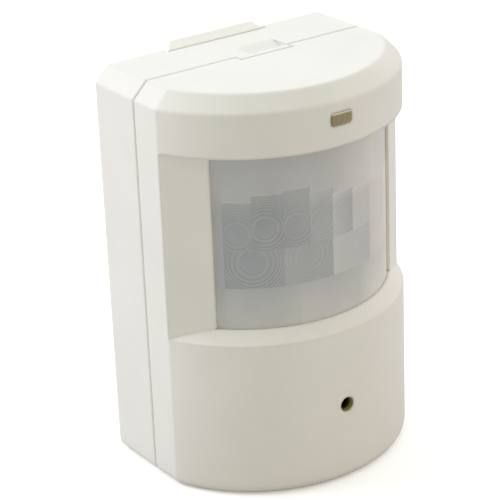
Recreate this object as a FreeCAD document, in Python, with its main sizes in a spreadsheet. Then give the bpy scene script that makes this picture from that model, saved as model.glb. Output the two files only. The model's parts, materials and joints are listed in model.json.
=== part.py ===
"""A wall-mounted passive infrared motion sensor with a pinhole camera, as one parametric document.

Sub-parts are drawn in a drafting frame: +X to the right seen from the front, -Y out of the wall
into the room, +Z up from the underside of the housing. A depth is a distance in front of the wall.
Every sub-part is then lowered by wall_screw_height, which puts the model's origin on the wall face,
in the middle of the four wall screws. All sizes are in millimetres.
"""
import FreeCAD
import Part
import Sketcher
import math
import os

DIMENSIONS = [
    ("width", 70.0, "overall width"),
    ("height", 101.4, "height of the housing"),
    ("depth", 50.0, "wall to the middle of the curved front"),
    ("side_depth", 26.4, "wall to the front corners, where the curve starts"),
    ("seam_depth", 17.2, "wall to the seam between housing and cover"),
    ("seam_gap", 0.16, "visible gap along the seam"),
    ("wall", 2.0, "moulded wall thickness"),
    ("top_chamfer", 3.9, "chamfer round the top"),
    ("bottom_round", 2.6, "rounding of the bottom edges"),
    ("back_round", 1.0, "rounding of the upright back edges"),
    ("seam_round", 0.4, "softening of the outer edges along the seam"),
    ("soft_edge", 0.9, "softening of the edges round the top slopes"),
    ("clearance", 0.15, "gap between parts that pass each other"),
    ("running_gap", 0.05, "radial gap of a turning fit"),
    ("brow_height", 86.9, "underside of the brow over the lens"),
    ("ledge_height", 39.9, "outer edge of the ledge under the lens"),
    ("ledge_rise", 2.7, "rise of the sloping ledge"),
    ("recess", 3.5, "how far the lens opening lies behind the curved front"),
    ("opening_half_width", 26.3, "middle to the inner edge of a pillar"),
    ("lens_setback", 0.85, "lip of the opening in front of the lens"),
    ("lens_thickness", 0.7, "thickness of the moulded lens sheet"),
    ("lens_overlap", 1.1, "how far the lens runs behind the opening's edges"),
    ("frame_thickness", 1.5, "thickness of the frame that holds the lens"),
    ("frame_border", 2.6, "width of that frame's border"),
    ("led_height", 93.6, "height of the indicator window"),
    ("led_width", 6.0, "width of the indicator window"),
    ("led_rise", 3.2, "height of the window opening"),
    ("led_corner", 0.8, "rounded corners of the window opening"),
    ("pinhole_height", 20.35, "height of the camera's pinhole"),
    ("pinhole_radius", 1.95, "radius of the hole in front of the camera"),
    ("bezel_radius", 1.65, "narrowest radius of the smoked bezel in that hole"),
    ("latch_left", -5.8, "left end of the housing's latch strip"),
    ("latch_right", 9.2, "right end of the latch strip"),
    ("latch_reach", 2.3, "how far the strip passes the seam"),
    ("latch_slot_left", -1.2, "left end of the release recess"),
    ("latch_slot_right", 8.9, "right end of the release recess"),
    ("latch_slot_length", 5.8, "front to back size of the release recess"),
    ("latch_slot_depth", 1.4, "depth of the release recess at the seam"),
    ("catch_thickness", 1.8, "thickness of the cover's catch tongue"),
    ("hook_offset", 20.0, "middle to each hinge hook"),
    ("hook_width", 6.0, "width of a hinge hook"),
    ("hook_inner", 3.3, "inner radius of a hook about the hinge line"),
    ("hook_outer", 4.9, "outer radius of a hook"),
    ("hook_reach", 48.0, "degrees that a hook reaches behind the hinge line"),
    ("plate_half_width", 14.4, "half the width of the wall plate"),
    ("plate_shift", -1.2, "middle of the wall plate, sideways"),
    ("plate_bottom", 23.5, "lower end of the wall plate"),
    ("plate_top", 103.0, "upper lip of the wall plate"),
    ("plate_thickness", 2.6, "thickness of the wall plate"),
    ("plate_lip_rise", 1.9, "height of the sloping ends of the upper lip"),
    ("plate_lip_run", 2.4, "length of the sloping ends of the upper lip"),
    ("plate_lift", 4.5, "lift that frees the housing from the plate"),
    ("wall_screw_height", 69.5, "height of the middle of the wall screws"),
    ("wall_screw_x", 9.0, "middle to a wall screw, sideways"),
    ("wall_screw_z", 22.0, "middle to a wall screw, upwards"),
    ("wall_screw_radius", 2.1, "radius of a wall screw hole"),
    ("wall_screw_head", 4.0, "radius of the countersunk head"),
    ("plate_hook_lower", 55.5, "height of the lower plate hook"),
    ("plate_hook_upper", 79.5, "height of the upper plate hook"),
    ("plate_hook_width", 5.0, "width of a plate hook"),
    ("plate_hook_height", 6.0, "height of a plate hook"),
    ("plate_hook_stem", 2.0, "thickness of a hook's stem and tip"),
    ("cable_height", 35.5, "height of the cable entry"),
    ("cable_radius", 3.0, "radius of the cable passage in the grommet"),
    ("cable_wall_radius", 4.5, "radius of the hole in the housing"),
    ("cable_plate_radius", 7.0, "radius of the hole in the wall plate"),
    ("board_half_width", 29.5, "half the width of the main board"),
    ("board_bottom", 43.5, "lower edge of the main board"),
    ("board_top", 96.5, "upper edge of the main board"),
    ("board_depth", 7.2, "wall to the back of the main board"),
    ("board_thickness", 1.6, "thickness of the main board"),
    ("board_screw_x", 26.0, "middle to a board screw"),
    ("board_screw_lower", 56.5, "height of the lower board screws"),
    ("board_screw_upper", 81.5, "height of the upper board screws"),
    ("post_radius", 2.8, "radius of a screw post"),
    ("screw_radius", 1.1, "radius of a small screw"),
    ("screw_head_radius", 2.2, "radius of a small screw's head"),
    ("screw_head_height", 1.5, "height of a small screw's head"),
    ("sensor_height", 69.5, "height of the infrared sensor"),
    ("sensor_radius", 4.15, "radius of the sensor can"),
    ("sensor_depth", 4.4, "height of the sensor can"),
    ("camera_depth", 25.7, "wall to the back of the camera board"),
    ("camera_board_width", 26.0, "width of the camera board"),
    ("camera_board_height", 22.0, "height of the camera board"),
    ("camera_screw_x", 10.8, "middle to a camera board screw"),
    ("bracket_thickness", 1.5, "thickness of the camera bracket"),
    ("bracket_post_x", 20.0, "middle to a bracket screw"),
    ("bracket_depth", 6.3, "wall to the back of the camera bracket"),
    ("barrel_radius", 6.0, "thread radius of the pinhole lens"),
    ("barrel_tip_radius", 1.6, "tip radius of the pinhole lens"),
    ("tamper_x", -20.2, "position of the tamper switch"),
    ("tamper_height", 91.5, "height of the tamper switch"),
    ("plunger_radius", 1.2, "radius of the tamper plunger"),
    ("plunger_tip", 14.2, "wall to the tip of the pressed plunger"),
    ("dial_x", 17.0, "position of the range dial"),
    ("dial_height", 71.5, "height of the range dial"),
    ("terminal_pitch", 5.08, "spacing of the wire terminals"),
    ("terminal_left", -27.0, "left end of the terminal block"),
    ("jumper_x", 17.0, "position of the jumper"),
    ("jumper_height", 62.5, "height of the jumper"),
    ("jumper_pitch", 2.54, "spacing of the jumper pins"),
    ("relay_left", 11.0, "left side of the alarm relay"),
    ("relay_width", 15.5, "width of the alarm relay"),
    ("relay_bottom", 85.8, "lower side of the alarm relay"),
    ("relay_height", 9.7, "height of the alarm relay"),
    ("chip_left", -17.0, "left end of the controller chip"),
    ("chip_bottom", 58.5, "lower side of the controller chip"),
    ("capacitor_radius", 3.15, "radius of a capacitor"),
    ("capacitor_outer_x", -20.0, "middle to the outer capacitor of the pair"),
    ("capacitor_inner_x", -12.0, "middle to the inner capacitor of the pair"),
    ("capacitor_row", 72.5, "height of the pair of capacitors"),
    ("single_capacitor_x", 6.5, "middle to the single capacitor"),
    ("single_capacitor_height", 81.0, "height of the single capacitor"),
    ("light_pipe_start", 14.0, "wall to the back end of the light pipe"),
]

TERMINAL_COUNT = 5
CHIP_LEG_PAIRS = 7
JUMPER_PIN_COUNT = 3
NEAR = 0.01     # positions this close count as the same
INTO = 0.5      # how far a feature starts inside the material it joins
PAST = 1.0      # how far a cutting shape passes the surface it opens


class Size:
    """A size that carries its spreadsheet formula and its present value."""

    def __init__(self, text, value):
        self.text = text
        self.value = value

    def __add__(self, other):
        other = size_of(other)
        return Size("(%s + %s)" % (self.text, other.text), self.value + other.value)

    def __sub__(self, other):
        other = size_of(other)
        return Size("(%s - %s)" % (self.text, other.text), self.value - other.value)

    def __mul__(self, other):
        other = size_of(other)
        return Size("(%s * %s)" % (self.text, other.text), self.value * other.value)

    def __truediv__(self, other):
        other = size_of(other)
        return Size("(%s / %s)" % (self.text, other.text), self.value / other.value)

    def __radd__(self, other):
        return size_of(other) + self

    def __rsub__(self, other):
        return size_of(other) - self

    def __rmul__(self, other):
        return size_of(other) * self

    def __neg__(self):
        return 0 - self


def size_of(amount):
    """Turn a plain number into a Size, and leave a Size as it is."""
    if isinstance(amount, Size):
        return amount
    return Size("(%r)" % float(amount), float(amount))


def root(amount):
    return Size("sqrt(%s)" % amount.text, math.sqrt(amount.value))


def sine(degrees):
    degrees = size_of(degrees)
    return Size("sin(%s)" % degrees.text, math.sin(math.radians(degrees.value)))


def cosine(degrees):
    degrees = size_of(degrees)
    return Size("cos(%s)" % degrees.text, math.cos(math.radians(degrees.value)))


def arc_sine(ratio):
    """The angle in degrees, as a plain number that other numbers can be added to."""
    return Size("(asin(%s) / 1 deg)" % ratio.text, math.degrees(math.asin(ratio.value)))


class Sizes:
    """The driving dimensions by name."""


d = Sizes()
doc = FreeCAD.newDocument("motion_sensor")
sheet = doc.addObject("Spreadsheet::Sheet", "Dims")
for row, (alias, number, meaning) in enumerate(DIMENSIONS, start=1):
    sheet.set("A%d" % row, meaning)
    sheet.set("B%d" % row, str(number))
    sheet.setAlias("B%d" % row, alias)
    setattr(d, alias, Size("Dims." + alias, number))
doc.recompute()

# Sizes that follow from the driving ones.
half = d.width / 2
sagitta = d.depth - d.side_depth
front_radius = (half * half + sagitta * sagitta) / (2 * sagitta)
curve_centre = front_radius - d.depth          # Y of the axis of the curved front
opening_radius = front_radius - d.recess
lens_outer = opening_radius - d.lens_setback
lens_inner = lens_outer - d.lens_thickness
frame_outer = lens_inner
frame_inner = frame_outer - d.frame_thickness
corner_angle = 2 * arc_sine(half / front_radius)
opening_depth = root(opening_radius * opening_radius - d.opening_half_width * d.opening_half_width)
opening_edge_y = curve_centre - opening_depth
opening_angle = 2 * arc_sine(d.opening_half_width / opening_radius)
lens_extra_angle = 2 * d.lens_overlap / opening_radius * (180 / math.pi)
ledge_top = d.ledge_height + d.ledge_rise
board_front = d.board_depth + d.board_thickness
camera_front = d.camera_depth + d.board_thickness
plate_left = d.plate_shift - d.plate_half_width
plate_right = d.plate_shift + d.plate_half_width
pocket_depth = d.plate_thickness + d.clearance
pocket_floor = pocket_depth + d.wall
seam_back = d.seam_depth - d.seam_gap / 2      # front edge of the rear housing
seam_front = d.seam_depth + d.seam_gap / 2     # back edge of the front cover
board_post_heights = (d.board_screw_lower, d.board_screw_upper)

finished = {}


# ---------------------------------------------------------------- drafting helpers

def bind(target, path, amount):
    """Bind a property of an object to the spreadsheet."""
    target.setExpression(path, size_of(amount).text)


def new_body(label):
    """A body that is lowered from the drafting frame to the model's origin."""
    body = doc.addObject("PartDesign::Body", label)
    body.Label = label
    bind(body, ".Placement.Base.z", -d.wall_screw_height)
    finished[label] = body
    return body


def new_sketch(body, name, role, offset=0.0):
    """A sketch on one of the body's origin planes, moved along the plane's normal.

    The normals are +Z for XY_Plane, -Y for XZ_Plane and +X for YZ_Plane.
    """
    plane = [feature for feature in body.Origin.OriginFeatures if feature.Role == role][0]
    sketch = body.newObject("Sketcher::SketchObject", name)
    sketch.AttachmentSupport = [(plane, "")]
    sketch.MapMode = "FlatFace"
    bind(sketch, ".AttachmentOffset.Base.z", offset)
    return sketch


def fix_point(sketch, geometry, end, point):
    """Tie one point of a sketch element to the sketch's origin, both ways."""
    for kind, amount in zip(("DistanceX", "DistanceY"), point):
        amount = size_of(amount)
        index = sketch.addConstraint(Sketcher.Constraint(kind, -1, 1, geometry, end, amount.value))
        bind(sketch, "Constraints[%d]" % index, amount)


def outline(sketch, corners, arcs=None):
    """A closed outline through the corners. arcs maps a corner's number to (radius, centre),
    and makes the stretch after that corner an arc that runs counter-clockwise."""
    arcs = arcs or {}
    count = len(corners)
    vectors = [FreeCAD.Vector(size_of(x).value, size_of(y).value, 0) for x, y in corners]
    first = sketch.GeometryCount
    for number, start in enumerate(vectors):
        stop = vectors[(number + 1) % count]
        if number in arcs:
            radius, centre = arcs[number]
            middle = FreeCAD.Vector(size_of(centre[0]).value, size_of(centre[1]).value, 0)
            circle = Part.Circle(middle, FreeCAD.Vector(0, 0, 1), radius.value)
            from_angle = math.atan2(start.y - middle.y, start.x - middle.x)
            to_angle = math.atan2(stop.y - middle.y, stop.x - middle.x)
            if to_angle < from_angle:
                to_angle += 2 * math.pi
            sketch.addGeometry(Part.ArcOfCircle(circle, from_angle, to_angle), False)
        else:
            sketch.addGeometry(Part.LineSegment(start, stop), False)
    for number in range(count):
        following = first + (number + 1) % count
        sketch.addConstraint(Sketcher.Constraint("Coincident", first + number, 2, following, 1))
        fix_point(sketch, first + number, 1, corners[number])
    for number, (radius, centre) in arcs.items():
        index = sketch.addConstraint(Sketcher.Constraint("Radius", first + number, radius.value))
        bind(sketch, "Constraints[%d]" % index, radius)


def rectangle(sketch, x_range, y_range):
    (left, right), (low, high) = x_range, y_range
    outline(sketch, [(left, low), (right, low), (right, high), (left, high)])


def rounded_rectangle(sketch, x_range, y_range, radius):
    (left, right), (low, high) = x_range, y_range
    inner_left, inner_right = left + radius, right - radius
    inner_low, inner_high = low + radius, high - radius
    outline(sketch, [(inner_left, low), (inner_right, low), (right, inner_low), (right, inner_high),
                     (inner_right, high), (inner_left, high), (left, inner_high), (left, inner_low)],
            {1: (radius, (inner_right, inner_low)), 3: (radius, (inner_right, inner_high)),
             5: (radius, (inner_left, inner_high)), 7: (radius, (inner_left, inner_low))})


def circle(sketch, x, y, radius):
    radius = size_of(radius)
    middle = FreeCAD.Vector(size_of(x).value, size_of(y).value, 0)
    geometry = sketch.addGeometry(Part.Circle(middle, FreeCAD.Vector(0, 0, 1), radius.value), False)
    index = sketch.addConstraint(Sketcher.Constraint("Radius", geometry, radius.value))
    bind(sketch, "Constraints[%d]" % index, radius)
    fix_point(sketch, geometry, 3, (x, y))


def grow(body, name, sketch, length):
    """Add material along the sketch plane's normal."""
    pad = body.newObject("PartDesign::Pad", name)
    pad.Profile = sketch
    bind(pad, "Length", length)
    doc.recompute()
    return pad


def carve(body, name, sketch, length):
    """Remove material along the sketch plane's normal, and make sure that some went."""
    before = body.Shape.Volume
    pocket = body.newObject("PartDesign::Pocket", name)
    pocket.Profile = sketch
    pocket.Reversed = True
    bind(pocket, "Length", length)
    doc.recompute()
    if not body.Shape.Volume < before:
        raise RuntimeError("%s removed nothing from %s" % (name, body.Label))
    return pocket


def spin(body, kind, name, sketch, axis, angle, midplane):
    """Add or remove a turned shape about one of the sketch's own lines or axes."""
    feature = body.newObject("PartDesign::" + kind, name)
    feature.Profile = sketch
    feature.ReferenceAxis = (sketch, [axis])
    bind(feature, "Angle", angle)
    feature.Midplane = midplane
    doc.recompute()
    return feature


def axis_line(sketch, x, low, high):
    """An upright construction line in a sketch, for turning about."""
    line = Part.LineSegment(FreeCAD.Vector(x.value, low, 0), FreeCAD.Vector(x.value, high, 0))
    geometry = sketch.addGeometry(line, True)
    fix_point(sketch, geometry, 1, (x, low))
    fix_point(sketch, geometry, 2, (x, high))


def edges_where(shape, test):
    """The names of the edges whose middle point passes the test."""
    names = []
    for number, edge in enumerate(shape.Edges, start=1):
        middle = edge.valueAt((edge.FirstParameter + edge.LastParameter) / 2)
        if test(middle, edge):
            names.append("Edge%d" % number)
    return names


def dress(body, kind, name, base, edges, amount):
    """A chamfer or a fillet on some edges of the base feature."""
    feature = body.newObject("PartDesign::" + kind, name)
    feature.Base = (base, edges)
    bind(feature, "Size" if kind == "Chamfer" else "Radius", amount)
    doc.recompute()
    return feature


def hollow(body, name, base, face_test, thickness):
    """Shell the base feature inwards, open at the one face that passes the test."""
    faces = ["Face%d" % number for number, face in enumerate(base.Shape.Faces, start=1)
             if face_test(face)]
    shell = body.newObject("PartDesign::Thickness", name)
    shell.Base = (base, faces)
    shell.Reversed = True
    bind(shell, "Value", thickness)
    doc.recompute()
    if not shell.Shape.Volume < base.Shape.Volume / 2:
        raise RuntimeError("%s did not hollow %s" % (name, body.Label))
    return shell


def block(name, x_range, depth_range, z_range):
    """A box between two sideways positions, two distances from the wall and two heights."""
    box = doc.addObject("Part::Box", name)
    (left, right), (near, far), (low, high) = x_range, depth_range, z_range
    bind(box, "Length", right - left)
    bind(box, "Width", far - near)
    bind(box, "Height", high - low)
    bind(box, ".Placement.Base.x", left)
    bind(box, ".Placement.Base.y", -far)
    bind(box, ".Placement.Base.z", low - d.wall_screw_height)
    return box


def round_bar(name, x, z, radius, depth_range):
    """A cylinder that points out of the wall, between two distances from the wall."""
    near, far = depth_range
    bar = doc.addObject("Part::Cylinder", name)
    bar.Placement = FreeCAD.Placement(FreeCAD.Vector(), FreeCAD.Rotation(FreeCAD.Vector(1, 0, 0), 90))
    bind(bar, "Radius", radius)
    bind(bar, "Height", far - near)
    bind(bar, ".Placement.Base.x", x)
    bind(bar, ".Placement.Base.y", -near)
    bind(bar, ".Placement.Base.z", z - d.wall_screw_height)
    return bar


def cone_bar(name, x, z, radii, depth_range):
    """A cone that points out of the wall, with its radius near the wall and far from it."""
    near, far = depth_range
    cone = doc.addObject("Part::Cone", name)
    cone.Placement = FreeCAD.Placement(FreeCAD.Vector(), FreeCAD.Rotation(FreeCAD.Vector(1, 0, 0), 90))
    bind(cone, "Radius1", radii[0])
    bind(cone, "Radius2", radii[1])
    bind(cone, "Height", far - near)
    bind(cone, ".Placement.Base.x", x)
    bind(cone, ".Placement.Base.y", -near)
    bind(cone, ".Placement.Base.z", z - d.wall_screw_height)
    return cone


def join(name, pieces):
    if len(pieces) == 1:
        return pieces[0]
    union = doc.addObject("Part::MultiFuse", name)
    union.Shapes = pieces
    return union


def remove(name, solid, tools):
    cut = doc.addObject("Part::Cut", name)
    cut.Base = solid
    cut.Tool = join(name + "_tools", tools)
    return cut


def group(name, pieces):
    """Identical loose pieces that share one node, each still a solid of its own."""
    compound = doc.addObject("Part::Compound", name)
    compound.Links = pieces
    return compound


def finish(label, solid):
    """Name a finished sub-part."""
    solid.Label = label
    finished[label] = solid
    return solid


def small_screw(name, x, z, head_back, length):
    """A pan-head screw that points at the wall, with its head resting at head_back."""
    slot_long = d.screw_head_radius * 0.6
    slot_narrow = size_of(0.3)
    slot_depth = 0.7
    head_front = head_back + d.screw_head_height
    slot_depths = (head_front - slot_depth, head_front + PAST)
    shank = round_bar(name + "_shank", x, z, d.screw_radius, (head_back - length, head_back))
    head = round_bar(name + "_head", x, z, d.screw_head_radius, (head_back, head_front))
    slots = [block(name + "_slot_across", (x - slot_long, x + slot_long), slot_depths,
                   (z - slot_narrow, z + slot_narrow)),
             block(name + "_slot_upright", (x - slot_narrow, x + slot_narrow), slot_depths,
                   (z - slot_long, z + slot_long))]
    return remove(name, join(name + "_blank", [shank, head]), slots)


# ---------------------------------------------------------------- the enclosure

def make_wall_plate():
    """The strip that stays on the wall: upper lip, four countersunk holes, two hooks."""
    body = new_body("wall_plate")
    lower_round = 2.0
    lip_round = 0.8
    sink_land = 0.4
    tip_thickness = 1.4
    tip_slope = 0.8
    lip_crest = 0.2
    slope_start = d.plate_top - d.plate_lip_rise
    sketch = new_sketch(body, "plate_outline", "XZ_Plane")
    outline(sketch, [(plate_left, d.plate_bottom), (plate_right, d.plate_bottom),
                     (plate_right, slope_start), (plate_right - d.plate_lip_run, d.plate_top),
                     (plate_left + d.plate_lip_run, d.plate_top), (plate_left, slope_start)])
    plate = grow(body, "plate_sheet", sketch, d.plate_thickness)
    low, high = d.plate_bottom.value, slope_start.value
    middle_y = -d.plate_thickness.value / 2

    def corner(height_test):
        return lambda p, e: (height_test(p.z) and abs(p.y - middle_y) < NEAR
                             and abs(e.Length + 2 * middle_y) < NEAR)

    lower = edges_where(plate.Shape, corner(lambda z: abs(z - low) < NEAR))
    rounded = dress(body, "Fillet", "plate_corners", plate, lower, lower_round)
    upper = edges_where(rounded.Shape, corner(lambda z: z > high - NEAR))
    dress(body, "Fillet", "lip_corners", rounded, upper, lip_round)

    # The lip slopes down to the front, from its crest to just above the housing.
    foot = d.height + d.clearance
    sketch = new_sketch(body, "lip_slope_outline", "YZ_Plane", plate_left - PAST)
    outline(sketch, [(-d.plate_thickness - PAST, foot), (-d.plate_thickness, foot), (-lip_crest, d.plate_top),
                     (-lip_crest, d.plate_top + PAST), (-d.plate_thickness - PAST, d.plate_top + PAST)])
    carve(body, "lip_slope", sketch, 2 * d.plate_half_width + 2 * PAST)

    sketch = new_sketch(body, "screw_hole_outline", "XZ_Plane")
    for sign_x in (-1, 1):
        for sign_z in (-1, 1):
            circle(sketch, sign_x * d.wall_screw_x, d.wall_screw_height + sign_z * d.wall_screw_z,
                   d.wall_screw_radius)
    circle(sketch, 0, d.cable_height, d.cable_plate_radius)
    holes = carve(body, "screw_holes", sketch, d.plate_thickness)
    rims = edges_where(holes.Shape, lambda p, e: abs(p.y + d.plate_thickness.value) < NEAR
                       and hasattr(e.Curve, "Radius")
                       and abs(e.Curve.Radius - d.wall_screw_radius.value) < NEAR)
    dress(body, "Chamfer", "countersinks", holes, rims, d.wall_screw_head - d.wall_screw_radius - sink_land)

    hook_root = -d.plate_thickness + INTO
    tip_back = pocket_floor + d.clearance
    sketch = new_sketch(body, "hook_outline", "YZ_Plane", -d.plate_hook_width / 2)
    for foot in (d.plate_hook_lower, d.plate_hook_upper):
        outline(sketch, [(hook_root, foot), (hook_root, foot + d.plate_hook_stem),
                         (-tip_back, foot + d.plate_hook_stem), (-tip_back, foot + d.plate_hook_height),
                         (-tip_back - tip_thickness, foot + d.plate_hook_height - tip_slope),
                         (-tip_back - tip_thickness, foot)])
    grow(body, "hooks", sketch, d.plate_hook_width)


def soft_edge_test(seam):
    """Picks the outer edges along the top slopes, for a body that ends at this seam."""
    top = d.height.value
    slope_foot = top - d.top_chamfer.value

    def outside(point):
        radius = math.hypot(point.x, point.y - curve_centre.value)
        return abs(abs(point.x) - half.value) < NEAR or abs(radius - front_radius.value) < NEAR

    def test(point, edge):
        if abs(point.y) < NEAR or abs(point.y + seam.value) < NEAR:
            return False
        low, high = edge.BoundBox.ZMin, edge.BoundBox.ZMax
        level = high - low < NEAR
        on_slope = level and (abs(low - top) < NEAR or (abs(low - slope_foot) < NEAR and outside(point)))
        slope_corner = abs(high - top) < NEAR and abs(low - slope_foot) < NEAR
        return on_slope or slope_corner

    return test


def seam_edge_test(seam):
    """Picks the outer edges of a body that lie in its seam plane."""
    inside = half.value - d.wall.value
    ceiling = d.height.value - d.wall.value

    def test(point, edge):
        if abs(edge.BoundBox.YMin + seam.value) > NEAR or abs(edge.BoundBox.YMax + seam.value) > NEAR:
            return False
        return abs(point.x) > inside + NEAR or point.z > ceiling + NEAR or point.z < d.wall.value / 2

    return test


def make_rear_housing():
    """The open box that hangs on the plate and carries the boards."""
    body = new_body("rear_housing")
    top = d.height.value
    side = half.value
    sketch = new_sketch(body, "box_outline", "XY_Plane")
    rectangle(sketch, (-half, half), (-seam_back, 0))
    box = grow(body, "box", sketch, d.height)
    upper = edges_where(box.Shape, lambda p, e: abs(p.z - top) < NEAR and abs(abs(p.x) - side) < NEAR)
    chamfered = dress(body, "Chamfer", "top_slopes", box, upper, d.top_chamfer)
    lower = edges_where(chamfered.Shape, lambda p, e: abs(p.z) < NEAR and p.y > -seam_back.value + NEAR)
    rounded = dress(body, "Fillet", "bottom_edges", chamfered, lower, d.bottom_round)
    shell = hollow(body, "shell", rounded,
                   lambda face: abs(face.CenterOfMass.y + seam_back.value) < NEAR, d.wall)
    softened = dress(body, "Fillet", "soft_edges", shell,
                     edges_where(shell.Shape, soft_edge_test(seam_back)), d.soft_edge)
    back = edges_where(softened.Shape, lambda p, e: abs(p.y) < NEAR and abs(abs(p.x) - side) < NEAR)
    rounded_back = dress(body, "Fillet", "back_edges", softened, back, d.back_round)
    dress(body, "Fillet", "seam_edges", rounded_back,
          edges_where(rounded_back.Shape, seam_edge_test(seam_back)), d.seam_round)

    # A raised panel inside gives depth for the pocket that takes the wall plate.
    pocket_left = plate_left - 2 * d.clearance
    pocket_right = plate_right + 2 * d.clearance
    pocket_low = d.plate_bottom - d.plate_lift - PAST
    sketch = new_sketch(body, "panel_outline", "XZ_Plane", d.wall / 2)
    rectangle(sketch, (pocket_left - d.wall, pocket_right + d.wall),
              (pocket_low - d.wall, d.height - d.wall / 2))
    grow(body, "panel", sketch, pocket_floor - d.wall / 2)
    sketch = new_sketch(body, "pocket_outline", "XZ_Plane")
    rectangle(sketch, (pocket_left, pocket_right), (pocket_low, d.height))
    carve(body, "plate_pocket", sketch, pocket_depth)

    # Slots that drop over the plate's hooks, and the cable hole.
    slot_half = d.plate_hook_width / 2 + 2 * d.clearance
    drop_clearance = 0.5
    sketch = new_sketch(body, "wall_opening_outline", "XZ_Plane", pocket_depth)
    for foot in (d.plate_hook_lower, d.plate_hook_upper):
        rectangle(sketch, (-slot_half, slot_half),
                  (foot - d.plate_lift - drop_clearance, foot + d.plate_hook_stem + d.clearance))
    circle(sketch, 0, d.cable_height, d.cable_wall_radius)
    carve(body, "wall_openings", sketch, d.wall)

    # Posts for the main board and the camera bracket.
    sketch = new_sketch(body, "board_post_outline", "XZ_Plane", d.wall / 2)
    for sign in (-1, 1):
        for post_height in board_post_heights:
            circle(sketch, sign * d.board_screw_x, post_height, d.post_radius)
    grow(body, "board_posts", sketch, d.board_depth - d.wall / 2)
    sketch = new_sketch(body, "bracket_post_outline", "XZ_Plane", d.wall / 2)
    for sign in (-1, 1):
        circle(sketch, sign * d.bracket_post_x, d.pinhole_height, d.post_radius)
    grow(body, "bracket_posts", sketch, d.bracket_depth - d.wall / 2)
    sketch = new_sketch(body, "pilot_outline", "XZ_Plane", d.wall)
    for sign in (-1, 1):
        circle(sketch, sign * d.bracket_post_x, d.pinhole_height, d.screw_radius)
        for post_height in board_post_heights:
            circle(sketch, sign * d.board_screw_x, post_height, d.screw_radius)
    carve(body, "pilot_holes", sketch, d.board_depth)

    # Ribs that line up the cover: one inside each side and two under the top.
    rib = 1.1
    rib_reach = 1.5
    rib_root = 3.0
    side_rib_heights = (9, 90)
    top_rib_near, top_rib_far = 14, 27
    inside = half - d.wall
    ceiling = d.height - d.wall
    for name, start_gap, length in (("rib_roots", -INTO, rib_root - INTO),
                                    ("seam_ribs", d.clearance, rib_root + rib_reach)):
        sketch = new_sketch(body, name + "_outline", "XZ_Plane", seam_back - rib_root)
        for sign in (-1, 1):
            rectangle(sketch, sorted_pair(sign * (inside - rib), sign * (inside - start_gap)),
                      side_rib_heights)
            rectangle(sketch, sorted_pair(sign * top_rib_near, sign * top_rib_far),
                      (ceiling - rib, ceiling - start_gap))
        grow(body, name, sketch, length)

    # The latch strip on top runs past the seam. Behind it the release recess slopes down to the seam.
    sketch = new_sketch(body, "strip_outline", "XY_Plane", ceiling)
    rectangle(sketch, (d.latch_left, d.latch_right), (-seam_back - d.latch_reach, -seam_back + INTO))
    grow(body, "latch_strip", sketch, d.wall)
    recess_back = -seam_back + d.latch_slot_length
    sketch = new_sketch(body, "recess_outline", "YZ_Plane", d.latch_slot_left)
    outline(sketch, [(-seam_back, d.height - d.latch_slot_depth), (recess_back, d.height),
                     (recess_back, d.height + PAST), (-seam_back, d.height + PAST)])
    carve(body, "release_recess", sketch, d.latch_slot_right - d.latch_slot_left)

    # A low sill that the cover's hinge hooks reach over.
    sill_depth = 1.45
    sill_height = 0.7
    sketch = new_sketch(body, "sill_outline", "XY_Plane", d.wall - INTO)
    for sign in (-1, 1):
        middle = sign * d.hook_offset
        rectangle(sketch, (middle - d.hook_width / 2, middle + d.hook_width / 2),
                  (-seam_back, -seam_back + sill_depth))
    grow(body, "hinge_sills", sketch, sill_height + INTO)


def sorted_pair(first, second):
    """Two sizes, the lower one first."""
    first, second = size_of(first), size_of(second)
    return (first, second) if first.value < second.value else (second, first)


def ring_profile(body, name, points):
    """A sketch of (radius, height) points on the middle plane, with the curve's axis."""
    sketch = new_sketch(body, name, "YZ_Plane")
    outline(sketch, [(curve_centre - radius, level) for radius, level in points])
    axis_line(sketch, curve_centre, 0, 10)
    return sketch


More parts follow.
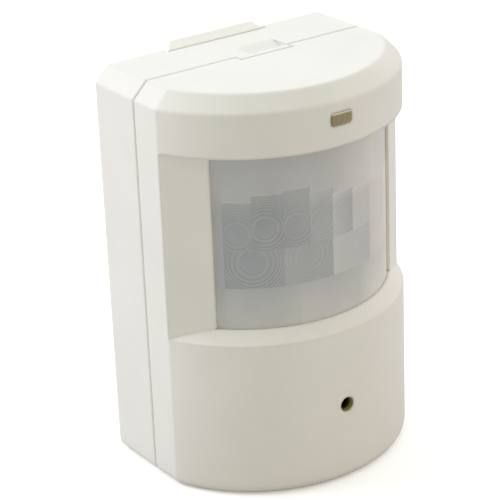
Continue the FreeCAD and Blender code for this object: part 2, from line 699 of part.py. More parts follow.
def make_front_cover():
    """The curved cover: brow, lens opening between two pillars, ledge, lower front."""
    body = new_body("front_cover")
    top = d.height.value
    sketch = new_sketch(body, "plan_outline", "XY_Plane")
    outline(sketch, [(-half, -d.side_depth), (half, -d.side_depth),
                     (half, -seam_front), (-half, -seam_front)],
            {0: (front_radius, (0, curve_centre))})
    solid = grow(body, "solid_cover", sketch, d.height)

    def outer_edge(level):
        return lambda p, e: abs(p.z - level) < NEAR and p.y < -seam_front.value - NEAR

    chamfered = dress(body, "Chamfer", "top_slopes", solid,
                      edges_where(solid.Shape, outer_edge(top)), d.top_chamfer)
    rounded = dress(body, "Fillet", "bottom_edges", chamfered,
                    edges_where(chamfered.Shape, outer_edge(0)), d.bottom_round)
    shell = hollow(body, "shell", rounded,
                   lambda face: abs(face.CenterOfMass.y + seam_front.value) < NEAR, d.wall)
    softened = dress(body, "Fillet", "soft_edges", shell,
                     edges_where(shell.Shape, soft_edge_test(seam_front)), d.soft_edge)
    dress(body, "Fillet", "seam_edges", softened,
          edges_where(softened.Shape, seam_edge_test(seam_front)), d.seam_round)

    # Open the curved front between ledge and brow. The lower cut follows the ledge's cone.
    beyond = 3
    slope = d.ledge_rise / d.recess
    sketch = ring_profile(body, "recess_profile", [
        (opening_radius, ledge_top), (opening_radius, d.brow_height),
        (front_radius + beyond, d.brow_height), (front_radius + beyond, d.ledge_height - slope * beyond)])
    spin(body, "Groove", "recess", sketch, "Axis0", corner_angle, True)

    # The ledge and the brow's underside, each with a seat for the lens and its frame.
    seat_outer = lens_outer + d.clearance
    seat_inner = frame_inner - d.clearance
    seat_low = ledge_top - d.lens_overlap - d.clearance
    seat_high = d.brow_height + d.lens_overlap + d.clearance
    sketch = ring_profile(body, "ledge_profile", [
        (front_radius, d.ledge_height), (opening_radius, ledge_top), (seat_outer, ledge_top),
        (seat_outer, seat_low), (seat_inner, seat_low), (seat_inner, seat_low - d.wall),
        (front_radius - d.wall, d.ledge_height - d.wall), (front_radius - INTO, d.ledge_height - d.wall)])
    spin(body, "Revolution", "ledge", sketch, "Axis0", corner_angle, True)
    sketch = ring_profile(body, "brow_profile", [
        (front_radius - INTO, d.brow_height), (front_radius - INTO, seat_high + d.wall),
        (seat_inner, seat_high + d.wall), (seat_inner, seat_high),
        (seat_outer, seat_high), (seat_outer, d.brow_height)])
    spin(body, "Revolution", "brow_underside", sketch, "Axis0", corner_angle, True)

    # The flat pillars beside the opening, one wall thick.
    run_x = half - d.opening_half_width
    run_y = -d.side_depth - opening_edge_y
    run = root(run_x * run_x + run_y * run_y)
    inner_x = d.opening_half_width - d.wall * run_y / run
    inner_y = opening_edge_y + d.wall * run_x / run
    inside = half - d.wall
    meeting_y = inner_y + (inside - inner_x) * run_y / run_x
    sketch = new_sketch(body, "pillar_outline", "XY_Plane", d.ledge_height - d.wall)
    root_y = -d.side_depth + d.wall
    for sign in (-1, 1):
        outline(sketch, [(sign * half, root_y), (sign * half, -d.side_depth),
                         (sign * d.opening_half_width, opening_edge_y), (sign * inner_x, inner_y),
                         (sign * inside, meeting_y), (sign * inside, root_y)])
    grow(body, "pillars", sketch, d.brow_height - d.ledge_height + 2 * d.wall)

    # The seat for the lens and its frame runs on behind the pillars.
    seat_play = 0.5
    sketch = ring_profile(body, "seat_profile", [
        (seat_outer, seat_low), (seat_outer, seat_high), (seat_inner, seat_high), (seat_inner, seat_low)])
    spin(body, "Groove", "lens_seat", sketch, "Axis0", opening_angle + lens_extra_angle + seat_play, True)

    # Indicator window and camera pinhole.
    cut_start = d.depth - 2 * d.wall
    sketch = new_sketch(body, "window_outline", "XZ_Plane", cut_start)
    rounded_rectangle(sketch, (-d.led_width / 2, d.led_width / 2),
                      (d.led_height - d.led_rise / 2, d.led_height + d.led_rise / 2), d.led_corner)
    circle(sketch, 0, d.pinhole_height, d.pinhole_radius)
    carve(body, "front_openings", sketch, 3 * d.wall)

    # Notch for the housing's latch strip, and the catch tongue that runs back under it.
    catch_overlap = 0.8
    catch_root_length = 4.5
    ceiling = d.height - d.wall
    notch_front = -seam_front - d.latch_reach
    sketch = new_sketch(body, "notch_outline", "XY_Plane", ceiling)
    rectangle(sketch, (d.latch_left - d.seam_gap, d.latch_right + d.seam_gap),
              (notch_front, -seam_front))
    carve(body, "latch_notch", sketch, d.wall)
    catch_top = ceiling - 2 * d.clearance
    catch_joint = ceiling + d.clearance
    catch_back = -seam_back + d.latch_slot_length + catch_overlap
    catch_root = notch_front - catch_root_length
    sketch = new_sketch(body, "catch_outline", "YZ_Plane", d.latch_slot_left + d.clearance)
    outline(sketch, [(catch_root, catch_joint), (notch_front - d.clearance, catch_joint),
                     (notch_front - d.clearance, catch_top), (catch_back, catch_top),
                     (catch_back, catch_top - d.catch_thickness),
                     (catch_root, catch_top - d.catch_thickness)])
    grow(body, "catch_tongue", sketch, d.latch_slot_right - d.latch_slot_left - 2 * d.clearance)

    # Two hinge hooks, concentric with the hinge line on the bottom of the seam.
    hinge_y = -d.seam_depth
    inner_front, outer_front = 35, 50
    root_level = d.wall / 2
    hook = [(hinge_y - d.hook_outer * sine(outer_front), root_level),
            (hinge_y - d.hook_inner * sine(inner_front), root_level),
            (hinge_y - d.hook_inner * sine(inner_front), d.hook_inner * cosine(inner_front)),
            (hinge_y + d.hook_inner * sine(d.hook_reach), d.hook_inner * cosine(d.hook_reach)),
            (hinge_y + d.hook_outer * sine(d.hook_reach), d.hook_outer * cosine(d.hook_reach)),
            (hinge_y - d.hook_outer * sine(outer_front), d.hook_outer * cosine(outer_front))]
    hook_narrowing = 0.4
    for sign, side in ((-1, "left"), (1, "right")):
        hook_left = sign * d.hook_offset - (d.hook_width - hook_narrowing) / 2
        sketch = new_sketch(body, "hook_outline_" + side, "YZ_Plane", hook_left)
        hook_outline(sketch, hook, hinge_y)
        grow(body, "hook_" + side, sketch, d.hook_width - hook_narrowing)

    # The rib that presses the tamper switch while the cover is closed.
    rib_half = 0.8
    rib_gap = 0.1
    rib_front = -36
    rib_step = -seam_front - 1.5
    rib_low = d.tamper_height - 2
    rib_high = d.tamper_height + 2
    rib_back = -d.plunger_tip - rib_gap
    rib_joint = ceiling + d.clearance
    sketch = new_sketch(body, "tamper_rib_outline", "YZ_Plane", d.tamper_x - rib_half)
    outline(sketch, [(rib_front, rib_joint), (rib_step, rib_joint), (rib_step, rib_high),
                     (rib_back, rib_high), (rib_back, rib_low), (rib_front, rib_low)])
    grow(body, "tamper_rib", sketch, 2 * rib_half)


def hook_outline(sketch, points, hinge_y):
    """The hook's outline: its third and fifth stretches are arcs about the hinge line.

    The inner arc runs clockwise, so it is drawn from its other end and joined up by hand.
    """
    vectors = [FreeCAD.Vector(size_of(x).value, size_of(y).value, 0) for x, y in points]
    middle = FreeCAD.Vector(hinge_y.value, 0, 0)
    start_side, stop_side = 1, 2
    ends = {}
    for number, start in enumerate(vectors):
        stop = vectors[(number + 1) % len(vectors)]
        if number in (2, 4):
            radius = d.hook_inner if number == 2 else d.hook_outer
            arc_circle = Part.Circle(middle, FreeCAD.Vector(0, 0, 1), radius.value)
            angles = [math.atan2(point.y, point.x - middle.x) for point in (start, stop)]
            index = sketch.addGeometry(Part.ArcOfCircle(arc_circle, min(angles), max(angles)), False)
            forwards = angles[0] < angles[1]
            ends[number] = (index, *((start_side, stop_side) if forwards else (stop_side, start_side)))
            fixed = sketch.addConstraint(Sketcher.Constraint("Radius", index, radius.value))
            bind(sketch, "Constraints[%d]" % fixed, radius)
        else:
            index = sketch.addGeometry(Part.LineSegment(start, stop), False)
            ends[number] = (index, start_side, stop_side)
    for number in range(len(points)):
        index, first_end, last_end = ends[number]
        next_index, next_first, _ = ends[(number + 1) % len(points)]
        sketch.addConstraint(Sketcher.Constraint("Coincident", index, last_end, next_index, next_first))
        fix_point(sketch, index, first_end, points[number])


def make_lens():
    """The curved plastic Fresnel lens sheet."""
    body = new_body("fresnel_lens")
    edge = d.lens_overlap
    sketch = ring_profile(body, "lens_profile", [
        (lens_inner, ledge_top - edge), (lens_outer, ledge_top - edge),
        (lens_outer, d.brow_height + edge), (lens_inner, d.brow_height + edge)])
    spin(body, "Revolution", "lens_sheet", sketch, "Axis0", opening_angle + lens_extra_angle, True)


def make_lens_frame():
    """The frame that presses the lens into its seat from inside."""
    body = new_body("lens_frame")
    edge = d.lens_overlap
    sketch = ring_profile(body, "frame_profile", [
        (frame_inner, ledge_top - edge), (frame_outer, ledge_top - edge),
        (frame_outer, d.brow_height + edge), (frame_inner, d.brow_height + edge)])
    spin(body, "Revolution", "frame_band", sketch, "Axis0", opening_angle + lens_extra_angle, True)
    border_angle = 2 * d.frame_border / frame_outer * (180 / math.pi)
    sketch = ring_profile(body, "window_profile", [
        (frame_inner - PAST, ledge_top + d.frame_border),
        (frame_outer + PAST, ledge_top + d.frame_border),
        (frame_outer + PAST, d.brow_height - d.frame_border),
        (frame_inner - PAST, d.brow_height - d.frame_border)])
    spin(body, "Groove", "frame_window", sketch, "Axis0", opening_angle - border_angle, True)


def make_light_pipe():
    """The clear bar that carries the indicator's light to the brow."""
    fit = 0.05
    bar_half = 2.0
    flange_thickness = 1.4
    flange_side, flange_rise = 1.5, 1.2
    setback = 0.4
    proud = 0.4
    rim_round = 0.6
    low = d.led_height - d.led_rise / 2
    high = d.led_height + d.led_rise / 2
    flange_front = d.depth - d.wall - setback
    flange_back = flange_front - flange_thickness
    body = new_body("led_light_pipe")
    sketch = new_sketch(body, "bar_outline", "XZ_Plane", d.light_pipe_start)
    rectangle(sketch, (-bar_half, bar_half), (low + fit, high - fit))
    grow(body, "bar", sketch, flange_back + INTO - d.light_pipe_start)
    sketch = new_sketch(body, "flange_outline", "XZ_Plane", flange_back)
    rectangle(sketch, (-d.led_width / 2 - flange_side, d.led_width / 2 + flange_side),
              (low - flange_rise, high + flange_rise))
    grow(body, "flange", sketch, flange_thickness)
    sketch = new_sketch(body, "window_block_outline", "XZ_Plane", flange_front - INTO)
    rounded_rectangle(sketch, (-d.led_width / 2 + fit, d.led_width / 2 - fit), (low + fit, high - fit),
                      d.led_corner - fit)
    window = grow(body, "window_block", sketch, d.depth + proud - flange_front + INTO)
    front = d.depth.value + proud
    dress(body, "Fillet", "window_rim", window,
          edges_where(window.Shape, lambda p, e: abs(p.y + front) < NEAR), rim_round)


def make_pinhole_bezel():
    """The smoked bush that lines the cover's hole in front of the camera; it widens to the front."""
    setback = 0.25
    mouth_rim = 0.1
    flange_reach = 0.9
    flange_thickness = 0.35
    flange_front = d.depth - d.wall - d.clearance
    front = d.depth - setback
    tube = round_bar("bezel_tube", 0, d.pinhole_height, d.pinhole_radius - d.running_gap,
                     (flange_front - flange_thickness, front))
    flange = round_bar("bezel_flange", 0, d.pinhole_height, d.pinhole_radius + flange_reach,
                       (flange_front - flange_thickness, flange_front))
    hole = round_bar("bezel_hole", 0, d.pinhole_height, d.bezel_radius,
                     (flange_front - flange_thickness - PAST, flange_front + INTO))
    mouth = cone_bar("bezel_mouth", 0, d.pinhole_height,
                     (d.bezel_radius, d.pinhole_radius - d.running_gap - mouth_rim), (flange_front, front))
    finish("pinhole_bezel", remove("bezel", join("bezel_blank", [tube, flange]), [hole, mouth]))


def make_grommet():
    """The rubber bush in the housing's cable hole."""
    flange_thickness = 1.3
    flange_reach = 1.4
    neck = round_bar("grommet_neck", 0, d.cable_height, d.cable_wall_radius,
                     (pocket_depth, pocket_floor + INTO))
    flange = round_bar("grommet_flange", 0, d.cable_height, d.cable_wall_radius + flange_reach,
                       (pocket_floor, pocket_floor + flange_thickness))
    hole = round_bar("grommet_hole", 0, d.cable_height, d.cable_radius,
                     (pocket_depth - PAST, pocket_floor + flange_thickness + PAST))
    finish("cable_grommet", remove("grommet", join("grommet_blank", [neck, flange]), [hole]))


# ---------------------------------------------------------------- the main board and what it carries

def make_main_board():
    hole_gap = 0.2
    sheet_blank = block("board_blank", (-d.board_half_width, d.board_half_width),
                        (d.board_depth, board_front), (d.board_bottom, d.board_top))
    holes = []
    for sign, side in ((-1, "left"), (1, "right")):
        for level, post_height in zip(("lower", "upper"), board_post_heights):
            holes.append(round_bar("board_hole_%s_%s" % (side, level), sign * d.board_screw_x, post_height,
                                   d.screw_radius + hole_gap, (d.board_depth - PAST, board_front + PAST)))
    finish("main_board", remove("board", sheet_blank, holes))


def make_board_screws():
    length = 6.0
    screws = []
    for sign, side in ((-1, "left"), (1, "right")):
        for level, post_height in zip(("lower", "upper"), board_post_heights):
            screws.append(small_screw("board_screw_%s_%s" % (side, level), sign * d.board_screw_x,
                                      post_height, board_front, length))
    finish("board_screws", group("board_screw_set", screws))


def make_sensor():
    """The two-element infrared sensor: a metal can with a dark filter window."""
    flange_height = 0.6
    flange_reach = 0.5
    metal = 0.5
    front = board_front + d.sensor_depth
    window_half_x, window_half_z = 2.0, 1.6
    window_setback = 0.1
    window_sides = (-size_of(window_half_x), size_of(window_half_x))
    window_heights = (d.sensor_height - window_half_z, d.sensor_height + window_half_z)
    can = round_bar("can_blank", 0, d.sensor_height, d.sensor_radius, (board_front, front))
    flange = round_bar("can_flange", 0, d.sensor_height, d.sensor_radius + flange_reach,
                       (board_front, board_front + flange_height))
    inside = round_bar("can_inside", 0, d.sensor_height, d.sensor_radius - metal,
                       (board_front + flange_height, front - metal))
    window = block("can_window", window_sides, (front - metal - INTO, front + PAST), window_heights)
    finish("pir_can", remove("sensor_can", join("can_solid", [can, flange]), [inside, window]))
    finish("pir_window", block("filter_window", window_sides, (front - metal, front - window_setback),
                               window_heights))


def make_status_led():
    body_height = 2.9
    body_radius = 1.5
    flange_height = 0.8
    flange_radius = 1.9
    flange = round_bar("led_flange", 0, d.led_height, flange_radius,
                       (board_front, board_front + flange_height))
    barrel = round_bar("led_barrel", 0, d.led_height, body_radius,
                       (board_front, board_front + body_height))
    dome = doc.addObject("Part::Sphere", "led_dome")
    dome.Radius = body_radius
    bind(dome, ".Placement.Base.y", -(board_front + body_height))
    bind(dome, ".Placement.Base.z", d.led_height - d.wall_screw_height)
    finish("status_led", join("led", [flange, barrel, dome]))


def make_tamper_switch():
    """A sprung plunger in a square switch: it comes out as the cover opens."""
    switch_half = 3.0
    switch_front = board_front + 4.0
    bore_depth = 3.2
    plunger_depth = 3.0
    around = (d.tamper_x - switch_half, d.tamper_x + switch_half)
    heights = (d.tamper_height - switch_half, d.tamper_height + switch_half)
    case = block("switch_case", around, (board_front, switch_front), heights)
    bore = round_bar("switch_bore", d.tamper_x, d.tamper_height, d.plunger_radius + d.running_gap,
                     (switch_front - bore_depth, switch_front + PAST))
    finish("tamper_switch", remove("switch", case, [bore]))
    finish("tamper_plunger", round_bar("plunger", d.tamper_x, d.tamper_height, d.plunger_radius,
                                       (switch_front - plunger_depth, d.plunger_tip)))


def front_edges(point):
    """The edges of a part on the main board that do not touch the board."""
    return point.y < -board_front.value - NEAR


def doc_fillet(name, solid, radius, test):
    """Round the edges of a primitive whose middle point passes the test."""
    doc.recompute()
    rounded = doc.addObject("Part::Fillet", name)
    rounded.Base = solid
    chosen = []
    for number, edge in enumerate(solid.Shape.Edges, start=1):
        middle = edge.valueAt((edge.FirstParameter + edge.LastParameter) / 2)
        if test(middle):
            chosen.append((number, radius, radius))
    rounded.Edges = chosen
    return rounded


def make_relay():
    height_off_board = 10
    edge_round = 0.6
    shell = block("relay_case", (d.relay_left, d.relay_left + d.relay_width),
                  (board_front, board_front + height_off_board),
                  (d.relay_bottom, d.relay_bottom + d.relay_height))
    finish("alarm_relay", doc_fillet("relay", shell, edge_round, front_edges))


def make_terminal_block():
    """Five wire clamps in a row: wires enter from below, screws face the front."""
    front = board_front + 10
    low, high = d.board_bottom + 0.8, d.board_bottom + 9.0
    well_radius, well_depth = 2.0, 6.5
    entry_half, entry_low, entry_high = 1.5, 1.0, 4.4
    head_radius, head_back, head_front = 1.9, 3.0, 1.2
    shank_radius, shank_back = 1.3, 6.0
    slot_half, slot_depth = 0.3, 0.7
    length = d.terminal_pitch * TERMINAL_COUNT
    case = block("terminal_case", (d.terminal_left, d.terminal_left + length),
                 (board_front, front), (low, high))
    tools = []
    screws = []
    for number in range(TERMINAL_COUNT):
        x = d.terminal_left + d.terminal_pitch * (number + 0.5)
        z = (low + high) / 2
        tools.append(round_bar("clamp_well_%d" % number, x, z, well_radius,
                               (front - well_depth, front + PAST)))
        tools.append(block("wire_entry_%d" % number, (x - entry_half, x + entry_half),
                           (board_front + entry_low, board_front + entry_high), (low - PAST, z)))
        head = round_bar("clamp_head_%d" % number, x, z, head_radius,
                         (front - head_back, front - head_front))
        shank = round_bar("clamp_shank_%d" % number, x, z, shank_radius,
                          (front - shank_back, front - head_back + INTO))
        slot = block("clamp_slot_%d" % number, (x - head_radius - INTO, x + head_radius + INTO),
                     (front - head_front - slot_depth, front), (z - slot_half, z + slot_half))
        blank = join("clamp_blank_%d" % number, [head, shank])
        screws.append(remove("clamp_screw_%d" % number, blank, [slot]))
    finish("terminal_block", remove("terminals", case, tools))
    finish("terminal_screws", group("clamp_screws", screws))


def make_range_dial():
    """The small trimmer that sets the detection range, with a turning slotted rotor."""
    case_half = 3.3
    case_front = board_front + 3.4
    stub_radius, bore_depth, stub_depth = 1.5, 1.8, 1.6
    disc_radius, disc_back = 2.5, case_front + d.running_gap
    rotor_front = case_front + 0.9
    slot_half, slot_depth = 0.35, 0.5
    pointer_length = 1.9
    around = (d.dial_x - case_half, d.dial_x + case_half)
    slot_depths = (rotor_front - slot_depth, rotor_front + PAST)
    case = block("trimmer_case", around, (board_front, case_front),
                 (d.dial_height - case_half, d.dial_height + case_half))
    bore = round_bar("trimmer_bore", d.dial_x, d.dial_height, stub_radius + d.running_gap,
                     (case_front - bore_depth, case_front + PAST))
    finish("range_trimmer", remove("trimmer", case, [bore]))
    disc = round_bar("rotor_disc", d.dial_x, d.dial_height, disc_radius, (disc_back, rotor_front))
    stub = round_bar("rotor_stub", d.dial_x, d.dial_height, stub_radius,
                     (case_front - stub_depth, disc_back + d.running_gap))
    across = block("rotor_slot", (d.dial_x - disc_radius - INTO, d.dial_x + disc_radius + INTO), slot_depths,
                   (d.dial_height - slot_half, d.dial_height + slot_half))
    pointer = block("rotor_pointer", (d.dial_x - slot_half, d.dial_x + slot_half), slot_depths,
                    (d.dial_height, d.dial_height + pointer_length))
    finish("range_dial", remove("rotor", join("rotor_blank", [disc, stub]), [across, pointer]))


def make_controller_chip():
    """A small surface-mounted chip with seven legs on each long side."""
    leg_pitch = 1.27
    leg_half = 0.2
    leg_thickness = 0.3
    leg_reach = 1.0
    case_height = 4.0
    case_back, case_front = board_front + 0.1, board_front + 1.6
    low, high = d.chip_bottom, d.chip_bottom + case_height
    pieces = [block("chip_case", (d.chip_left, d.chip_left + leg_pitch * CHIP_LEG_PAIRS),
                    (case_back, case_front), (low, high))]
    for number in range(CHIP_LEG_PAIRS):
        x = d.chip_left + leg_pitch * (number + 0.5)
        pieces.append(block("chip_leg_%d" % number, (x - leg_half, x + leg_half),
                            (board_front, board_front + leg_thickness), (low - leg_reach, high + leg_reach)))
    finish("controller_chip", join("chip", pieces))


def make_capacitors():
    """Three upright electrolytic capacitors."""
    can_length = 7
    edge_round = 0.5
    places = ((d.capacitor_outer_x, d.capacitor_row), (d.capacitor_inner_x, d.capacitor_row),
              (d.single_capacitor_x, d.single_capacitor_height))
    cans = []
    for number, (x, z) in enumerate(places):
        can = round_bar("capacitor_%d_can" % number, x, z, d.capacitor_radius,
                        (board_front, board_front + can_length))
        cans.append(doc_fillet("capacitor_%d" % number, can, edge_round, front_edges))
    finish("capacitors", group("capacitor_set", cans))


def make_jumper():
    """Three header pins, and the removable link that sits over two of them."""
    pin = 0.32
    pin_gap = 0.1
    base_half = 1.25
    cap_gap = 0.05
    cap_length = 6.5
    base_front = board_front + 2.5
    pin_front = board_front + 8.5
    left = d.jumper_x - d.jumper_pitch * (JUMPER_PIN_COUNT / 2)
    right = d.jumper_x + d.jumper_pitch * (JUMPER_PIN_COUNT / 2)
    pieces = [block("header_base", (left, right), (board_front, base_front),
                    (d.jumper_height - base_half, d.jumper_height + base_half))]
    for number in range(JUMPER_PIN_COUNT):
        x = left + d.jumper_pitch * (number + 0.5)
        pieces.append(block("header_pin_%d" % number, (x - pin, x + pin), (board_front + INTO, pin_front),
                            (d.jumper_height - pin, d.jumper_height + pin)))
    finish("jumper_header", join("header", pieces))
    cap_back = base_front + 2 * cap_gap
    cap = block("cap_case", (left + cap_gap, left + 2 * d.jumper_pitch - cap_gap),
                (cap_back, cap_back + cap_length),
                (d.jumper_height - base_half + cap_gap, d.jumper_height + base_half - cap_gap))
    wells = []
    well_half = pin + pin_gap
    for number in range(2):
        x = left + d.jumper_pitch * (number + 0.5)
        wells.append(block("cap_well_%d" % number, (x - well_half, x + well_half),
                           (base_front - PAST, pin_front + 2 * pin_gap),
                           (d.jumper_height - well_half, d.jumper_height + well_half)))
    finish("jumper_cap", remove("cap", cap, wells))


# ---------------------------------------------------------------- the pinhole camera

def make_camera_bracket():
    """A plastic saddle that holds the camera board behind the pinhole."""
    foot_half = 4.0
    foot_reach = 3.4
    arm_outside = 1.0
    tab_reach = 2.2
    hole_gap = 0.2
    body = new_body("camera_bracket")
    middle = d.pinhole_height
    arm_outer = d.camera_board_width / 2 + arm_outside
    arm_inner = arm_outer - d.bracket_thickness
    wide = d.bracket_post_x + foot_reach
    tab_inner = d.camera_screw_x - tab_reach
    back = -d.bracket_depth
    front = -d.camera_depth
    thick = d.bracket_thickness
    sketch = new_sketch(body, "saddle_outline", "XY_Plane", middle - foot_half)
    outline(sketch, [(-wide, back), (-wide, back - thick), (-arm_outer, back - thick), (-arm_outer, front),
                     (-tab_inner, front), (-tab_inner, front + thick), (-arm_inner, front + thick),
                     (-arm_inner, back - thick), (arm_inner, back - thick), (arm_inner, front + thick),
                     (tab_inner, front + thick), (tab_inner, front), (arm_outer, front),
                     (arm_outer, back - thick), (wide, back - thick), (wide, back)])
    grow(body, "saddle", sketch, 2 * foot_half)
    sketch = new_sketch(body, "bracket_hole_outline", "XZ_Plane", d.bracket_depth)
    for sign in (-1, 1):
        circle(sketch, sign * d.bracket_post_x, middle, d.screw_radius + hole_gap)
    carve(body, "bracket_holes", sketch, d.bracket_thickness)
    sketch = new_sketch(body, "tab_hole_outline", "XZ_Plane", d.camera_depth - d.bracket_thickness)
    for sign in (-1, 1):
        circle(sketch, sign * d.camera_screw_x, middle, d.screw_radius)
    carve(body, "tab_holes", sketch, d.bracket_thickness)


def make_camera_screws():
    bracket_length, board_length = 5.0, 4.5
    bracket_screws = []
    board_screws = []
    for sign, side in ((-1, "left"), (1, "right")):
        bracket_screws.append(small_screw("bracket_screw_" + side, sign * d.bracket_post_x, d.pinhole_height,
                                          d.bracket_depth + d.bracket_thickness, bracket_length))
        board_screws.append(small_screw("camera_screw_" + side, sign * d.camera_screw_x, d.pinhole_height,
                                        camera_front, board_length))
    finish("bracket_screws", group("bracket_screw_set", bracket_screws))
    finish("camera_screws", group("camera_screw_set", board_screws))


def make_camera_board():
    hole_gap = 0.2
    chip_half = size_of(4.0)
    chip_thickness = 1
    low = d.pinhole_height - d.camera_board_height / 2
    blank = block("camera_blank", (-d.camera_board_width / 2, d.camera_board_width / 2),
                  (d.camera_depth, camera_front), (low, low + d.camera_board_height))
    holes = []
    for sign, side in ((-1, "left"), (1, "right")):
        holes.append(round_bar("camera_hole_" + side, sign * d.camera_screw_x, d.pinhole_height,
                               d.screw_radius + hole_gap, (d.camera_depth - PAST, camera_front + PAST)))
    finish("camera_board", remove("camera_sheet", blank, holes))
    finish("image_sensor", block("sensor_chip", (-chip_half, chip_half),
                                 (camera_front, camera_front + chip_thickness),
                                 (d.pinhole_height - chip_half, d.pinhole_height + chip_half)))


def make_camera_lens():
    """The threaded holder on the camera board and the pinhole lens that screws into it."""
    base_half = size_of(7.2)
    base_thickness = 3
    tube_wall = 1.1
    holder_length = 10.5
    barrel_start, barrel_beyond = 3.5, 2.4
    nose_step = 0.6
    barrel_wall = 1.2
    bead_radius = 0.9
    bead_back, bead_front = 2.0, 0.4
    tip_gap = 1.2
    holder_front = camera_front + holder_length
    base = block("holder_base", (-base_half, base_half), (camera_front, camera_front + base_thickness),
                 (d.pinhole_height - base_half, d.pinhole_height + base_half))
    tube = round_bar("holder_tube", 0, d.pinhole_height, d.barrel_radius + tube_wall,
                     (camera_front, holder_front))
    bore = round_bar("holder_bore", 0, d.pinhole_height, d.barrel_radius + d.running_gap,
                     (camera_front - PAST, holder_front + PAST))
    finish("lens_holder", remove("holder", join("holder_blank", [base, tube]), [bore]))

    tip = d.depth - d.wall - tip_gap
    barrel_back = camera_front + barrel_start
    cone_back = holder_front + barrel_beyond
    barrel = round_bar("lens_barrel", 0, d.pinhole_height, d.barrel_radius, (barrel_back, cone_back))
    nose = cone_bar("lens_nose", 0, d.pinhole_height, (d.barrel_radius - nose_step, d.barrel_tip_radius),
                    (cone_back, tip))
    passage = round_bar("lens_passage", 0, d.pinhole_height, bead_radius, (barrel_back - PAST, tip + PAST))
    chamber = round_bar("lens_chamber", 0, d.pinhole_height, d.barrel_radius - barrel_wall,
                        (barrel_back - PAST, cone_back - PAST))
    finish("pinhole_lens", remove("pinhole_barrel", join("barrel_blank", [barrel, nose]),
                                  [passage, chamber]))
    finish("pinhole_glass", round_bar("glass_bead", 0, d.pinhole_height, bead_radius,
                                      (tip - bead_back, tip - bead_front)))


def make_camera_cable():
    """The flat cable from the camera board up to a socket on the main board."""
    left, right = size_of(3.0), size_of(9.0)
    thick = 0.8
    bend_out, bend_in = 2.5, 2.1
    plug_reach, plug_height, plug_thickness = 0.8, 3.6, 2.6
    socket_height = 4.5
    plug_low = d.pinhole_height + 6
    plug_back = d.camera_depth - plug_thickness
    cable_level = plug_low + (plug_height - thick) / 2
    turn_depth = d.camera_depth - 12.5
    socket_low = d.board_bottom + 1.5
    body = new_body("camera_cable")
    sketch = new_sketch(body, "cable_outline", "YZ_Plane", left)
    outline(sketch, [(-plug_back, cable_level), (-plug_back, cable_level + thick),
                     (-turn_depth - bend_out, cable_level + thick),
                     (-turn_depth - thick, cable_level + bend_out),
                     (-turn_depth - thick, socket_low), (-turn_depth, socket_low),
                     (-turn_depth, cable_level + bend_in), (-turn_depth - bend_in, cable_level)])
    grow(body, "cable_ribbon", sketch, right - left)
    sides = (left - plug_reach, right + plug_reach)
    finish("camera_plug", block("plug", sides, (plug_back, d.camera_depth),
                                (plug_low, plug_low + plug_height)))
    finish("camera_socket", block("socket", sides, (board_front, turn_depth + thick + plug_reach),
                                  (socket_low, socket_low + socket_height)))


def check_and_write():
    """Stop on any failed object, then write each sub-part to its own file."""
    doc.recompute()
    for item in doc.Objects:
        if "Invalid" in item.State or "Error" in item.State:
            raise RuntimeError("%s failed: %s" % (item.Name, item.State))
    os.makedirs("parts", exist_ok=True)
    for label, item in finished.items():
        shape = item.Shape
        if shape.isNull() or not shape.isValid() or not shape.Solids:
            raise RuntimeError("%s has no valid solid" % label)
        shape.exportStep(os.path.join("parts", label + ".step"))
        print("%-18s %d solid(s) %10.1f mm3" % (label, len(shape.Solids), shape.Volume))


make_wall_plate()
make_rear_housing()
make_front_cover()
make_lens()
make_lens_frame()
make_light_pipe()
make_pinhole_bezel()
make_grommet()
make_main_board()
make_board_screws()
make_sensor()
make_status_led()
make_tamper_switch()
make_relay()
make_terminal_block()
make_range_dial()
make_controller_chip()
make_capacitors()
make_jumper()
make_camera_bracket()
make_camera_screws()
make_camera_board()
make_camera_lens()
make_camera_cable()
check_and_write()
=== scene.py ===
"""The looks of the wall-mounted motion sensor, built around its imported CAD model.

Lengths are in metres in the model's own frame: +X to the right seen from the front, -Y out of the
wall into the room, +Z up, origin on the wall face. MM turns millimetres into metres.
"""

import json
import math
import random

import bmesh
import bpy
import numpy as np
from mathutils import Matrix, Vector


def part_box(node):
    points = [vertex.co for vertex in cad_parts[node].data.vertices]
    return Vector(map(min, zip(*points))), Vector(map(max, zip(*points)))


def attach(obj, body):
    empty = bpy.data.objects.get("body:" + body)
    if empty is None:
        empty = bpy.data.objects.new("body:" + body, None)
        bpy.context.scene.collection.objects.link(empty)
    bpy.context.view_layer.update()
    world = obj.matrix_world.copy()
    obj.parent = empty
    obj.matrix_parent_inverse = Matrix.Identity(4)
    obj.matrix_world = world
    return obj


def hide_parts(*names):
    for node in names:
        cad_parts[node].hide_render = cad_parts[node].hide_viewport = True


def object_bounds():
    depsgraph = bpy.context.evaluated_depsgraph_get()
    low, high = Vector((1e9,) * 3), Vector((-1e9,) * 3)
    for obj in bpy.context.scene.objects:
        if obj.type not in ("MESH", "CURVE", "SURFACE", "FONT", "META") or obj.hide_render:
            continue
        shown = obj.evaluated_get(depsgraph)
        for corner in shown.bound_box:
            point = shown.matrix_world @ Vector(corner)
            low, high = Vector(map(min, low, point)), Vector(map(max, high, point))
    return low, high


MM = 0.001
SEED = 20

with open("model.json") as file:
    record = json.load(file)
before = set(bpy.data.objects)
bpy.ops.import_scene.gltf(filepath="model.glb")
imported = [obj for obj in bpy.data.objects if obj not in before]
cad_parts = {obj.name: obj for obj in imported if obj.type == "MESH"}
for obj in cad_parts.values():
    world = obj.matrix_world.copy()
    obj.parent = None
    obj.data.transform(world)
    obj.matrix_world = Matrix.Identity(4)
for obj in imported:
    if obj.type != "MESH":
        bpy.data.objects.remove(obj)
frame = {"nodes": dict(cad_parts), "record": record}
cad_low, cad_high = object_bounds()
nodes = frame["nodes"]
scene = bpy.context.scene


# ---------------------------------------------------------------- building materials from nodes

